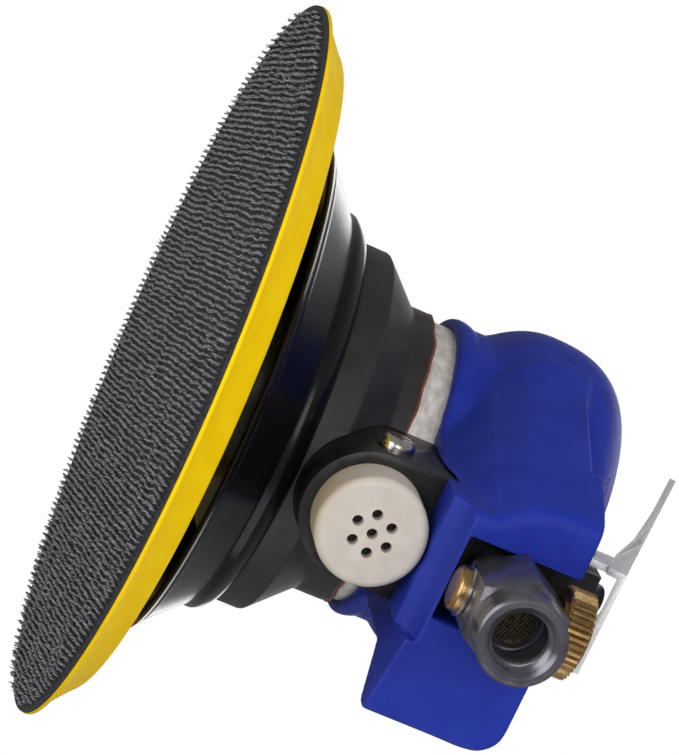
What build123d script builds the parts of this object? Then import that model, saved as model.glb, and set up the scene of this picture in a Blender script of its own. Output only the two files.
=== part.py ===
from build123d import *
import math
import os

# Air-driven random orbital sander with a 150 mm hook pad. Millimetres, +Z up.
# The origin is on the motor axis at the height of the pad's working face.
# The air inlet and the muffler point to -Y, the throttle lever rises towards +Y.

# Clearances
press_gap = 0.02        # radius, pressed or face-fitted round pieces
running_gap = 0.05      # radius, round pieces that turn in each other
slip_gap = 0.10         # between fixed castings and mouldings
moving_gap = 0.35       # beside moving pieces that are not a fit

# Sanding pad
orbit_offset = 2.4      # motor axis to pad axis
pad_radius = 75.5
hook_thickness = 2.2
foam_thickness = 7.0
foam_top_radius = 67.3
plate_radius = 50.0
plate_thickness = 2.5
hub_radius = 12.0
hub_height = 1.5
stud_radius = 4.0
stud_head_radius = 9.0
stud_head_thickness = 1.5
stud_engagement = 8.5

# Spindle that carries the pad
spindle_hex = 17.0
spindle_hex_height = 5.0
spindle_shoulder_height = 1.0
spindle_shoulder_radius = 7.5
spindle_journal_radius = 6.0
spindle_bearing_radius = 14.0
spindle_bearing_width = 12.0
spindle_ball = 4.0
spindle_ball_rows = 2
retaining_ring_width = 1.0
retaining_ring_grip = 1.2
spindle_screw_radius = 2.5
spindle_screw_length = 6.5
spindle_screw_head_radius = 4.2
spindle_screw_head_height = 2.6
spindle_washer_radius = 7.0
spindle_washer_thickness = 1.2

# Balancer: the eccentric cup, its counterweight and the motor shaft in one piece
cup_wall = 4.0
cup_web = 3.0
counterweight_radius = 27.0
counterweight_half_angle = 62.0
counterweight_height = 17.0
shaft_radius = 6.0
shaft_tip_radius = 4.0
shaft_collar_radius = 8.0

# Motor casing
casing_radius = 29.5
casing_upper_radius = 27.5
casing_bore_radius = 24.0
casing_bottom = 40.0
casing_step = 57.0
casing_top_wall = 3.5
lock_ring_height = 3.5
lock_ring_hole_radius = 16.0

# Vane motor
lower_bearing_radius = 14.0
lower_bearing_width = 8.0
lower_ball = 4.76
lower_ball_count = 8
end_plate_web = 2.0
rotor_radius = 17.9
rotor_length = 21.9
rotor_tip_gap = 0.10
motor_eccentricity = 1.75
vane_count = 5
vane_slot_width = 1.6
vane_slot_depth = 7.0
vane_height = 5.6
upper_bearing_radius = 11.0
upper_bearing_width = 7.0
upper_ball = 3.97
upper_ball_count = 7
gasket_thickness = 0.5
gasket_inner_radius = 18.0
key_width = 2.0
key_height = 2.2
key_length = 14.0
dowel_radius = 1.5
dowel_length = 6.0
dowel_place_radius = 21.9

# Shroud and skirt under the casing
shroud_radius = 38.5
shroud_bottom = 28.6
shroud_cylinder_top = 34.8
shroud_cone_top = 43.0
shroud_top = 48.0
shroud_wall = 3.2
shroud_collar_wall = 1.1
skirt_lip_radius = 42.4
skirt_lip_height = 24.8
skirt_bottom = 14.0
skirt_bottom_radius = 52.6
skirt_wall = 2.4

# Air inlet arm of the casing and its valve
inlet_height = 68.0
arm_half_width = 10.5
arm_neck_half_width = 8.6
arm_end = 57.0
arm_bottom = 59.0
arm_shoulder = 77.5
arm_top = 85.5
passage_radius = 3.4
valve_distance = 40.0
valve_chamber_radius = 6.0
valve_cap_height = 2.5
valve_seat_bottom = 72.5
valve_seat_height = 2.5
valve_seat_hole_radius = 4.0
valve_head_radius = 5.2
valve_head_height = 2.5
valve_gallery_radius = 4.5
valve_bushing_height = 7.0
valve_bushing_flange_radius = 5.8
valve_bushing_flange_height = 1.5
stem_radius = 2.0
stem_button_radius = 3.2
stem_button_height = 2.6
stem_lever_gap = 0.15
spring_wire = 0.8
spring_radius = 3.6
spring_turns = 5

# Inlet fitting with a quarter-inch pipe thread, and the regulator through it
fitting_hex = 17.0
fitting_end = 90.0
fitting_turned_length = 7.0
fitting_turned_radius = 8.4
fitting_hex_back = 66.8
hex_corner_radius = 10.0
hex_front_chamfer = 1.6
fitting_neck_radius = 7.4
fitting_thread_radius = 6.4
fitting_thread_length = 7.0
inlet_bore_radius = 5.75
inlet_bore_depth = 12.2
screen_seat_radius = 5.3
inlet_chamfer = 1.0
screen_ring_thickness = 1.2
screen_ring_hole_radius = 4.3
screen_thickness = 0.6
screen_hole = 0.9
regulator_distance = 71.2
regulator_pin_radius = 2.9
regulator_port_radius = 1.8
knob_radius = 8.3
knob_height = 5.2
knob_step_radius = 6.2
knob_step_height = 0.7
clip_radius = 5.0
clip_thickness = 0.6
button_radius = 4.4
button_height = 1.9

# Exhaust block and muffler
exhaust_height = 42.0
block_half_width = 12.9
block_top = 55.0
block_front = 49.5
block_bore_radius = 8.9
block_bore_back = 34.0
port_radius = 4.5
port_height = 48.0
cap_radius = 10.65
cap_socket_depth = 4.0
cap_front = 59.0
cap_wall = 1.7
cap_front_wall = 2.2
cap_edge_round = 1.5
cap_hole_radius = 1.05
cap_hole_circle = 3.75
cap_hole_count = 6
cap_hole_turn = 9.0
felt_gap = 0.4
clamp_screw_distance = 42.0
clamp_screw_height = 42.7
clamp_screw_head_radius = 3.7
clamp_screw_head_height = 2.2
clamp_screw_radius = 1.75
clamp_screw_length = 3.4

# Grip shell
shell_bottom = 52.5
bead_radius = 31.8
bead_height = 3.6
neck_radius = 30.4
neck_top = 62.0
bulge_radius = 35.8
bulge_height = 77.0
shell_top = 96.0
shell_wall = 3.0
panel_distance = 66.0
panel_left = 14.0
panel_left_upper = 16.4
tangent_reach = 34.2
tangent_distance = 11.8
panel_right = 29.5
box_bottom = 52.5
box_top = 80.0
wing_depth = 4.0
wing_root = 21.0
wing_root_distance = 49.0
ledge_height = 64.0
box_corner_round = 7.0
ledge_width = 15.5
ledge_rise = 3.8
ledge_run = 6.0
recess_half_width = 8.4
recess_bottom = 57.3

# Throttle lever
pivot_distance = 50.0
pivot_height = 83.0
pivot_pin_radius = 1.5
lever_thickness = 1.4
lever_angle = 17.3
lever_rear_distance = 56.0
lever_rear_height = 89.3
lever_half_width = 9.2
lever_tip_half_width = 13.0
lever_tip_reach = 40.0
lever_flare_start = -25.0
lever_tip_round = 5.0
ear_radius = 4.0
flange_depth = 3.0
flange_reach = 66.0

# Heights that follow from the stack of pieces
foam_top = hook_thickness + foam_thickness
plate_top = foam_top + plate_thickness
hub_top = plate_top + hub_height
shoulder_bottom = hub_top + spindle_hex_height
spindle_bearing_bottom = shoulder_bottom + spindle_shoulder_height
spindle_bearing_top = spindle_bearing_bottom + spindle_bearing_width
cup_bottom = spindle_bearing_bottom - retaining_ring_width - 0.4
cup_roof = spindle_bearing_top + spindle_washer_thickness + spindle_screw_head_height + 0.6
cup_top = cup_roof + cup_web
lower_plate_bottom = casing_bottom + lock_ring_height
lower_bearing_top = lower_plate_bottom + lower_bearing_width
lower_plate_top = lower_bearing_top + end_plate_web
rotor_bottom = lower_plate_top + running_gap
rotor_top = rotor_bottom + rotor_length
upper_plate_bottom = rotor_top + running_gap
upper_bearing_bottom = upper_plate_bottom + end_plate_web
upper_bearing_top = upper_bearing_bottom + upper_bearing_width
casing_roof = upper_bearing_top + gasket_thickness
casing_top = casing_roof + casing_top_wall
vane_slot_floor = rotor_radius - vane_slot_depth
vane_outer = rotor_radius - running_gap
lever_slope = math.tan(math.radians(lever_angle))


def ring(outer, inner, bottom, top, x=0.0):
    """A plain round ring, or a disc where inner is 0."""
    body = Pos(x, 0, bottom) * Cylinder(outer, top - bottom, align=(Align.CENTER, Align.CENTER, Align.MIN))
    if inner > 0:
        hole = Pos(x, 0, bottom - 1) * Cylinder(
            inner, top - bottom + 2, align=(Align.CENTER, Align.CENTER, Align.MIN)
        )
        body = body - hole
    return body


def block(x0, x1, y0, y1, z0, z1):
    """A box between two corners."""
    body = Box(x1 - x0, y1 - y0, z1 - z0)
    return Pos((x0 + x1) / 2, (y0 + y1) / 2, (z0 + z1) / 2) * body


def rod_y(radius, y0, y1, z, x=0.0):
    """A round rod along Y."""
    return Pos(x, (y0 + y1) / 2, z) * Rot(90, 0, 0) * Cylinder(radius, abs(y1 - y0))


def rod_x(radius, x0, x1, y, z):
    """A round rod along X."""
    return Pos((x0 + x1) / 2, y, z) * Rot(0, 90, 0) * Cylinder(radius, abs(x1 - x0))


def rod_z(radius, z0, z1, y=0.0, x=0.0):
    """A round rod along Z."""
    return Pos(x, y, (z0 + z1) / 2) * Cylinder(radius, abs(z1 - z0))


def turned(points):
    """A solid of revolution about Z from (radius, height) corners."""
    outline = Polyline(*[(r, z) for r, z in points], close=True)
    return revolve(Plane.XZ * make_face(outline), Axis.Z)


def one_solid(shape):
    """The single solid of a shape that is built by cuts and unions."""
    found = shape.solids()
    return max(found, key=lambda s: s.volume)


# ---- Sanding pad --------------------------------------------------------------

def make_hook_sheet():
    return ring(pad_radius, 0, 0, hook_thickness, -orbit_offset)


def make_pad_foam():
    cone = Pos(-orbit_offset, 0, hook_thickness) * Cone(
        pad_radius, foam_top_radius, foam_thickness, align=(Align.CENTER, Align.CENTER, Align.MIN)
    )
    head_pocket = rod_z(
        stud_head_radius, foam_top - stud_head_thickness, foam_top + 1, x=-orbit_offset
    )
    return cone - head_pocket


def make_pad_plate():
    disc = ring(plate_radius, 0, foam_top, plate_top, -orbit_offset)
    hub = ring(hub_radius, 0, plate_top, hub_top, -orbit_offset)
    hole = rod_z(stud_radius, foam_top - 1, hub_top + 1, x=-orbit_offset)
    return disc + hub - hole


def make_pad_stud():
    head = ring(stud_head_radius, 0, foam_top - stud_head_thickness, foam_top, -orbit_offset)
    shank = ring(stud_radius, 0, foam_top, hub_top + stud_engagement, -orbit_offset)
    return chamfer((head + shank).edges().sort_by(Axis.Z)[-1], 0.6)


# ---- Spindle and its bearing --------------------------------------------------

def make_pad_spindle():
    nut = extrude(RegularPolygon(spindle_hex / 2, 6, major_radius=False), spindle_hex_height)
    nut = Pos(-orbit_offset, 0, hub_top) * nut
    shoulder = ring(spindle_shoulder_radius, 0, shoulder_bottom, spindle_bearing_bottom, -orbit_offset)
    journal = ring(spindle_journal_radius, 0, spindle_bearing_bottom, spindle_bearing_top, -orbit_offset)
    stud_hole = rod_z(stud_radius, hub_top - 1, hub_top + stud_engagement + 0.5, x=-orbit_offset)
    screw_hole = rod_z(
        spindle_screw_radius,
        spindle_bearing_top - spindle_screw_length - 0.5,
        spindle_bearing_top + 1,
        x=-orbit_offset,
    )
    return nut + shoulder + journal - stud_hole - screw_hole


def race_pair(inner, outer, bottom, top, ball, x=0.0, rows=1):
    """Inner race, outer race and the radius of the ball circle."""
    pitch = (inner + outer) / 2
    land = ball * 0.32
    inner_race = ring(pitch - land, inner + press_gap, bottom, top, x)
    outer_race = ring(outer - press_gap, pitch + land, bottom, top, x)
    for z in row_heights(bottom, top, rows):
        groove = Pos(x, 0, z) * Torus(pitch, ball / 2 + running_gap)
        inner_race = inner_race - groove
        outer_race = outer_race - groove
    return inner_race, outer_race


def row_heights(bottom, top, rows):
    """Heights of a bearing's ball rows."""
    pitch = (top - bottom) / rows
    return [bottom + pitch * (row + 0.5) for row in range(rows)]


def ball_set(inner, outer, bottom, top, ball, count, x=0.0, rows=1):
    """The loose balls of a bearing, as separate solids."""
    circle = (inner + outer) / 2
    balls = []
    for z in row_heights(bottom, top, rows):
        for step in range(count):
            angle = 2 * math.pi * step / count
            place = Pos(x + circle * math.cos(angle), circle * math.sin(angle), z)
            balls.append(place * Sphere(ball / 2))
    return Compound(children=balls)


def make_spindle_washer():
    top = spindle_bearing_top + spindle_washer_thickness
    return ring(spindle_washer_radius, spindle_screw_radius, spindle_bearing_top, top, -orbit_offset)


def make_spindle_screw():
    seat = spindle_bearing_top + spindle_washer_thickness
    head = ring(spindle_screw_head_radius, 0, seat, seat + spindle_screw_head_height, -orbit_offset)
    shank = ring(spindle_screw_radius, 0, spindle_bearing_top - spindle_screw_length, seat, -orbit_offset)
    socket = extrude(RegularPolygon(2.0, 6, major_radius=False), 2)
    return head + shank - Pos(-orbit_offset, 0, seat + spindle_screw_head_height - 1.4) * socket


def make_retaining_ring():
    outer = spindle_bearing_radius + retaining_ring_grip - press_gap
    inner = spindle_bearing_radius - 2.4
    top = spindle_bearing_bottom
    hoop = ring(outer, inner, top - retaining_ring_width, top, -orbit_offset)
    slit = block(-3, 3, -outer - 1, -inner + 1, top - retaining_ring_width - 1, top + 1)
    return hoop - Pos(-orbit_offset, 0, 0) * slit


# ---- Balancer, rotor and vanes ------------------------------------------------

def make_balancer():
    cup_radius = spindle_bearing_radius + cup_wall
    cup = ring(cup_radius, 0, cup_bottom, cup_top, -orbit_offset)
    weight = ring(counterweight_radius, cup_radius - 3, cup_top - counterweight_height, cup_top)
    reach = 2 * counterweight_radius
    tilt = math.radians(counterweight_half_angle)
    wedge = Polyline(
        (0, 0), (reach * math.cos(tilt), -reach * math.sin(tilt)),
        (reach, 0), (reach * math.cos(tilt), reach * math.sin(tilt)), close=True,
    )
    sector = Pos(0, 0, cup_top - counterweight_height) * extrude(make_face(wedge), counterweight_height)
    collar_top = lower_plate_bottom
    shaft = ring(shaft_collar_radius, 0, cup_top - 1, collar_top)
    shaft = shaft + ring(shaft_radius, 0, collar_top, upper_bearing_bottom)
    shaft = shaft + ring(shaft_tip_radius, 0, upper_bearing_bottom, upper_bearing_top)
    body = cup + (weight & sector) + shaft
    bearing_bore = rod_z(spindle_bearing_radius, cup_bottom - 1, spindle_bearing_top, x=-orbit_offset)
    roof_bore = rod_z(spindle_bearing_radius - 2.5, spindle_bearing_top - 1, cup_roof, x=-orbit_offset)
    ring_groove = rod_z(
        spindle_bearing_radius + retaining_ring_grip,
        spindle_bearing_bottom - retaining_ring_width,
        spindle_bearing_bottom,
        x=-orbit_offset,
    )
    key_seat = key_box(0)
    return one_solid(body - bearing_bore - roof_bore - ring_groove - key_seat)


def key_box(gap):
    """The space of the rotor key, grown by a gap."""
    middle = (rotor_bottom + rotor_top) / 2
    half = key_width / 2 + gap
    return block(
        shaft_radius - key_height / 2,
        shaft_radius + key_height / 2 + gap,
        -half,
        half,
        middle - key_length / 2,
        middle + key_length / 2,
    )


def make_rotor():
    body = ring(rotor_radius, shaft_radius, rotor_bottom, rotor_top)
    for step in range(vane_count):
        slot = block(
            vane_slot_floor,
            rotor_radius + 1,
            -vane_slot_width / 2,
            vane_slot_width / 2,
            rotor_bottom - 1,
            rotor_top + 1,
        )
        body = body - Rot(0, 0, vane_angle(step)) * slot
    return one_solid(body - key_box(0))


def vane_angle(step):
    """Direction of a vane's slot in degrees, clear of the key."""
    return 360.0 / vane_count * (step + 0.5)


def make_vane(step):
    half = vane_slot_width / 2 - running_gap
    blade = block(
        vane_outer - vane_height, vane_outer, -half, half, rotor_bottom, rotor_top
    )
    return Rot(0, 0, vane_angle(step)) * blade


# ---- Motor casing and what is fixed in it --------------------------------------

def make_lock_ring():
    hoop = ring(casing_bore_radius - press_gap, lock_ring_hole_radius, casing_bottom, lower_plate_bottom)
    for angle in (0, 180):
        notch = rod_z(1.6, casing_bottom - 1, casing_bottom + 2, x=20.0)
        hoop = hoop - Rot(0, 0, angle) * notch
    return hoop


def make_lower_end_plate():
    plate = ring(casing_bore_radius - press_gap, shaft_collar_radius + 0.5, lower_plate_bottom, lower_plate_top)
    pocket = rod_z(lower_bearing_radius, lower_plate_bottom - 1, lower_bearing_top)
    slot_wall = lower_bearing_radius + 4.5
    exhaust_slot = block(
        -port_radius, port_radius, -casing_bore_radius - 1, -slot_wall,
        port_height - port_radius, lower_plate_top + 1,
    )
    dowel_hole = rod_z(
        dowel_radius, lower_plate_top - dowel_length / 2, lower_plate_top + 1, y=dowel_place_radius
    )
    return one_solid(plate - pocket - exhaust_slot - dowel_hole)


def make_cylinder_liner():
    bore_radius = rotor_radius + motor_eccentricity + rotor_tip_gap
    wall = ring(casing_bore_radius - press_gap, 0, lower_plate_top, upper_plate_bottom)
    bore = rod_z(bore_radius, lower_plate_top - 1, upper_plate_bottom + 1, y=-motor_eccentricity)
    middle = (lower_plate_top + upper_plate_bottom) / 2
    exhaust = block(
        -port_radius, port_radius, -casing_bore_radius - 1, -bore_radius, lower_plate_top - 1, middle
    )
    intake = block(
        -port_radius, port_radius, bore_radius - motor_eccentricity - 1, casing_bore_radius - 1.2,
        upper_plate_bottom - 3, upper_plate_bottom + 1,
    )
    dowel_hole = rod_z(
        dowel_radius, lower_plate_top - 1, lower_plate_top + dowel_length / 2, y=dowel_place_radius
    )
    return one_solid(wall - bore - exhaust - intake - dowel_hole)


def make_liner_dowel():
    half = dowel_length / 2
    return rod_z(dowel_radius, lower_plate_top - half, lower_plate_top + half, y=dowel_place_radius)


def make_upper_end_plate():
    hole = shaft_radius + moving_gap
    plate = ring(casing_bore_radius - press_gap, hole, upper_plate_bottom, upper_bearing_top)
    pocket = rod_z(upper_bearing_radius, upper_bearing_bottom, upper_bearing_top + 1)
    inlet_notch = block(
        -port_radius, port_radius, -casing_bore_radius - 1, -gasket_inner_radius,
        upper_bearing_bottom, upper_bearing_top + 1,
    )
    feed = block(
        -port_radius, port_radius, gasket_inner_radius, casing_bore_radius - 1.2,
        upper_plate_bottom - 1, upper_bearing_top + 1,
    )
    return one_solid(plate - pocket - inlet_notch - feed)


def make_end_gasket():
    return ring(casing_bore_radius - press_gap, gasket_inner_radius, upper_bearing_top, casing_roof)


def arm_solid(gap):
    """The casing's inlet arm, grown by a gap for the cavity of the shell."""
    lower = block(
        -arm_half_width - gap, arm_half_width + gap, -arm_end, -casing_bore_radius,
        arm_bottom - gap, arm_shoulder + gap,
    )
    upper = block(
        -arm_neck_half_width - gap, arm_neck_half_width + gap, -arm_end, -casing_bore_radius,
        arm_bottom, arm_top + gap,
    )
    return lower + upper


def make_motor_casing():
    barrel = ring(casing_radius, 0, casing_bottom, casing_step)
    upper = ring(casing_upper_radius, 0, casing_step, casing_top)
    upper = fillet(upper.edges().sort_by(Axis.Z)[-1], 2.5)
    body = barrel + upper + arm_solid(0)
    inside = rod_z(casing_bore_radius, casing_bottom - 1, casing_roof)
    exhaust_port = rod_y(port_radius, -casing_radius - 1, -casing_bore_radius + 2, port_height)
    inlet_passage = rod_y(passage_radius, -arm_end + 1, -valve_distance, inlet_height)
    fitting_hole = rod_y(
        fitting_thread_radius, -arm_end - 1, -arm_end + fitting_thread_length, inlet_height
    )
    chamber_top = valve_seat_bottom + valve_seat_height
    chamber = rod_z(valve_chamber_radius, arm_bottom - 1, chamber_top, y=-valve_distance)
    gallery = rod_z(valve_gallery_radius, chamber_top - 1, arm_top + 1, y=-valve_distance)
    outlet = rod_y(passage_radius - 1, -valve_distance, -casing_bore_radius + 2, upper_bearing_bottom + 3)
    pin_hole = rod_x(
        pivot_pin_radius + press_gap, -arm_half_width, arm_half_width, -pivot_distance, pivot_height
    )
    body = body - inside - exhaust_port - inlet_passage - fitting_hole
    return one_solid(body - chamber - gallery - outlet - pin_hole)


# ---- Throttle valve --------------------------------------------------------------

def make_valve_cap():
    cap = rod_z(
        valve_chamber_radius - press_gap, arm_bottom, arm_bottom + valve_cap_height, y=-valve_distance
    )
    slot = block(-5, 5, -0.6, 0.6, -1, 1)
    return cap - Pos(0, -valve_distance, arm_bottom) * slot


def make_valve_seat():
    top = valve_seat_bottom + valve_seat_height
    outer = rod_z(valve_chamber_radius - press_gap, valve_seat_bottom, top, y=-valve_distance)
    return outer - rod_z(valve_seat_hole_radius, valve_seat_bottom - 1, top + 1, y=-valve_distance)


def make_valve_bushing():
    flange_top = arm_top + valve_bushing_flange_height
    sleeve = rod_z(
        valve_gallery_radius - press_gap, flange_top - valve_bushing_height, flange_top, y=-valve_distance
    )
    flange = rod_z(valve_bushing_flange_radius, arm_top, flange_top, y=-valve_distance)
    bore = rod_z(stem_radius + running_gap, arm_bottom, flange_top + 1, y=-valve_distance)
    return sleeve + flange - bore


def lever_underside(y):
    """Height of the lever's lower face at rest, at a place along Y."""
    middle = lever_rear_height + (y + lever_rear_distance) * lever_slope
    return middle - lever_thickness / 2 / math.cos(math.radians(lever_angle))


def make_valve_stem():
    top = lever_underside(-valve_distance - stem_button_radius) - stem_lever_gap
    head_bottom = valve_seat_bottom - valve_head_height
    rod = rod_z(stem_radius, head_bottom, top, y=-valve_distance)
    button = rod_z(stem_button_radius, top - stem_button_height, top, y=-valve_distance)
    button = fillet(button.edges().sort_by(Axis.Z)[-1], 1.4)
    return rod + button


def make_valve_head():
    bottom = valve_seat_bottom - valve_head_height
    disc = rod_z(valve_head_radius, bottom, valve_seat_bottom, y=-valve_distance)
    return disc - rod_z(stem_radius, bottom - 1, valve_seat_bottom + 1, y=-valve_distance)


def make_valve_spring():
    bottom = arm_bottom + valve_cap_height + spring_wire / 2
    top = valve_seat_bottom - valve_head_height - spring_wire / 2
    height = top - bottom
    path = Helix(pitch=height / spring_turns, height=height, radius=spring_radius)
    section = Plane(origin=path @ 0, z_dir=path % 0) * Circle(spring_wire / 2)
    return Pos(0, -valve_distance, bottom) * sweep(section, path=path)


# ---- Inlet fitting and regulator ---------------------------------------------------

def screen_back():
    """Distance from the motor axis to the shoulder that the inlet screen rests on."""
    return fitting_end - inlet_bore_depth - screen_thickness - screen_ring_thickness


def make_inlet_fitting():
    hex_front = fitting_end - fitting_turned_length
    nut = extrude(RegularPolygon(fitting_hex / 2, 6, major_radius=False), hex_front - fitting_hex_back)
    nut = Pos(0, -fitting_hex_back, inlet_height) * Rot(90, 0, 0) * nut
    front_round = rod_y(hex_corner_radius, -hex_front, -fitting_hex_back, inlet_height)
    front_round = chamfer(front_round.edges().sort_by(Axis.Y)[0], hex_front_chamfer)
    turned_end = rod_y(fitting_turned_radius, -fitting_end, -hex_front + 1, inlet_height)
    turned_end = chamfer(turned_end.edges().sort_by(Axis.Y)[0], 0.5)
    neck = rod_y(fitting_neck_radius, -fitting_hex_back - 1, -arm_end, inlet_height)
    thread = rod_y(
        fitting_thread_radius - press_gap, -arm_end - 1, -arm_end + fitting_thread_length, inlet_height
    )
    body = (nut & front_round) + turned_end + neck + thread
    bore_floor = fitting_end - inlet_bore_depth
    bore = rod_y(inlet_bore_radius, -fitting_end - 1, -bore_floor, inlet_height)
    seat = rod_y(screen_seat_radius, -bore_floor - 1, -screen_back(), inlet_height)
    passage = rod_y(passage_radius, -bore_floor - 1, -arm_end + fitting_thread_length + 1, inlet_height)
    pin_hole = rod_z(
        regulator_pin_radius + running_gap,
        inlet_height - fitting_hex,
        inlet_height + fitting_hex,
        y=-regulator_distance,
    )
    body = body - bore - seat - passage - pin_hole
    mouth = Pos(0, -fitting_end, inlet_height) * Rot(-90, 0, 0) * Cone(
        inlet_bore_radius + inlet_chamfer, inlet_bore_radius, inlet_chamfer,
        align=(Align.CENTER, Align.CENTER, Align.MIN),
    )
    return one_solid(body - mouth)


def make_screen_ring():
    front = screen_back() + screen_thickness + screen_ring_thickness
    outer = rod_y(
        screen_seat_radius - press_gap, -front, -front + screen_ring_thickness, inlet_height
    )
    return outer - rod_y(screen_ring_hole_radius, -front - 1, -front + 3, inlet_height)


def make_inlet_screen():
    back = screen_back()
    disc = rod_y(screen_seat_radius - press_gap, -back - screen_thickness, -back, inlet_height)
    pitch = screen_hole * 1.7
    count = int(passage_radius / pitch)
    for column in range(-count, count + 1):
        for row in range(-count, count + 1):
            if math.hypot(column * pitch, row * pitch) < passage_radius:
                hole = block(
                    -screen_hole / 2, screen_hole / 2, -back - 2, -back + 1, -screen_hole / 2, screen_hole / 2
                )
                disc = disc - Pos(column * pitch, 0, inlet_height + row * pitch) * hole
    return disc


def make_regulator_spindle():
    bottom = inlet_height - fitting_hex / 2 - clip_thickness - 0.4
    top = inlet_height + fitting_hex / 2 + knob_step_height + knob_height - 1.2
    pin = rod_z(regulator_pin_radius, bottom, top, y=-regulator_distance)
    port = rod_y(
        regulator_port_radius, -regulator_distance - 8, -regulator_distance + 8, inlet_height
    )
    return pin - port


def make_regulator_knob():
    step_bottom = inlet_height + fitting_hex / 2 + slip_gap
    knob_bottom = inlet_height + fitting_hex / 2 + knob_step_height
    step = rod_z(knob_step_radius, step_bottom, knob_bottom, y=-regulator_distance)
    grip = rod_z(knob_radius, knob_bottom, knob_bottom + knob_height, y=-regulator_distance)
    grip = chamfer(grip.edges().filter_by(GeomType.CIRCLE), 0.4)
    socket = rod_z(
        regulator_pin_radius, step_bottom - 1, knob_bottom + knob_height - 1.2, y=-regulator_distance
    )
    return step + grip - socket


def make_regulator_clip():
    top = inlet_height - fitting_hex / 2 - slip_gap
    ring_body = rod_z(clip_radius, top - clip_thickness, top, y=-regulator_distance)
    return ring_body - rod_z(regulator_pin_radius, top - 5, top + 5, y=-regulator_distance)


def make_regulator_button():
    seat = inlet_height - fitting_hex / 2 - clip_thickness - slip_gap
    low = seat - button_height
    button = rod_z(button_radius, low, seat, y=-regulator_distance)
    button = fillet(button.edges().sort_by(Axis.Z)[0], 1.1)
    pin_bottom = inlet_height - fitting_hex / 2 - clip_thickness - 0.4
    return button - rod_z(regulator_pin_radius, pin_bottom, seat + 1, y=-regulator_distance)


# ---- Exhaust block and muffler ------------------------------------------------------

def block_outline(gap):
    """The exhaust block's outside: square above, half round below."""
    half = block_half_width + gap
    round_part = rod_y(half, -block_front, -casing_bore_radius - 2, exhaust_height)
    square = block(-half, half, -block_front, -casing_bore_radius - 2, exhaust_height, block_top + gap)
    return round_part + square


def make_exhaust_block():
    body = block_outline(0)
    body = body - rod_z(casing_radius + press_gap, shroud_bottom - 5, block_top + 5)
    bore = rod_y(block_bore_radius, -block_front - 1, -block_bore_back, exhaust_height)
    socket = rod_y(cap_radius + press_gap, -block_front - 1, -block_front + cap_socket_depth, exhaust_height)
    port = rod_y(port_radius, -block_bore_back - 1, -casing_bore_radius, port_height)
    screw_hole = rod_x(
        clamp_screw_radius, -block_half_width - 1, -block_half_width + clamp_screw_length + 0.3,
        -clamp_screw_distance, clamp_screw_height,
    )
    return one_solid(body - bore - socket - port - screw_hole)


def make_clamp_screw():
    face = -block_half_width
    head = rod_x(
        clamp_screw_head_radius, face - clamp_screw_head_height, face,
        -clamp_screw_distance, clamp_screw_height,
    )
    head = fillet(head.edges().sort_by(Axis.X)[0], clamp_screw_head_height * 0.7)
    shank = rod_x(
        clamp_screw_radius, face, face + clamp_screw_length, -clamp_screw_distance, clamp_screw_height
    )
    place = Pos(face - clamp_screw_head_height, -clamp_screw_distance, clamp_screw_height)
    cross = place * (Box(2.2, 0.8, 4.0) + Box(2.2, 4.0, 0.8))
    return head + shank - cross


def make_muffler_cap():
    back = block_front - cap_socket_depth
    cap = rod_y(cap_radius, -cap_front, -back, exhaust_height)
    cap = fillet(cap.edges().sort_by(Axis.Y)[0], cap_edge_round)
    inside = rod_y(cap_radius - cap_wall, -cap_front + cap_front_wall, -back + 1, exhaust_height)
    cap = cap - inside
    hole = rod_y(cap_hole_radius, -cap_front - 1, -cap_front + cap_front_wall + 1, exhaust_height)
    cap = cap - hole
    for step in range(cap_hole_count):
        angle = 2 * math.pi * step / cap_hole_count + math.radians(cap_hole_turn)
        place = Pos(cap_hole_circle * math.cos(angle), 0, cap_hole_circle * math.sin(angle))
        cap = cap - place * hole
    return one_solid(cap)


def make_muffler_felt():
    front = cap_front - cap_front_wall - felt_gap
    radius = min(cap_radius - cap_wall, block_bore_radius) - felt_gap / 2
    plug = rod_y(radius, -front, -block_bore_back, exhaust_height)
    return plug


# ---- Shroud and skirt ---------------------------------------------------------------

def make_shroud():
    collar_bore = casing_radius + press_gap
    outside = turned([
        (0, shroud_bottom),
        (shroud_radius, shroud_bottom),
        (shroud_radius, shroud_cylinder_top),
        (casing_radius + shroud_collar_wall, shroud_cone_top),
        (casing_radius + shroud_collar_wall, shroud_top),
        (0, shroud_top),
    ])
    inner_radius = shroud_radius - shroud_wall
    inner_cone_top = shroud_cylinder_top + inner_radius - collar_bore - shroud_wall / 2
    inside = turned([
        (0, shroud_bottom - 1),
        (inner_radius, shroud_bottom - 1),
        (inner_radius, shroud_cylinder_top - shroud_wall / 2),
        (collar_bore, inner_cone_top),
        (collar_bore, shroud_top + 1),
        (0, shroud_top + 1),
    ])
    return one_solid(outside - inside - block_outline(slip_gap))


def make_skirt():
    top_inner = shroud_radius - shroud_wall
    lip_inner = skirt_lip_radius - skirt_wall
    profile = [
        (top_inner, shroud_bottom),
        (shroud_radius, shroud_bottom),
        (skirt_lip_radius - 0.7, skirt_lip_height + 1.2),
        (skirt_lip_radius, skirt_lip_height),
        (skirt_lip_radius - 0.3, skirt_lip_height - 0.8),
        (skirt_bottom_radius, skirt_bottom),
        (skirt_bottom_radius - skirt_wall, skirt_bottom),
        (lip_inner - 1.2, skirt_lip_height - 1.6),
        (top_inner, shroud_bottom - skirt_wall),
    ]
    return turned(profile)


# ---- Grip shell ---------------------------------------------------------------------

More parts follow.
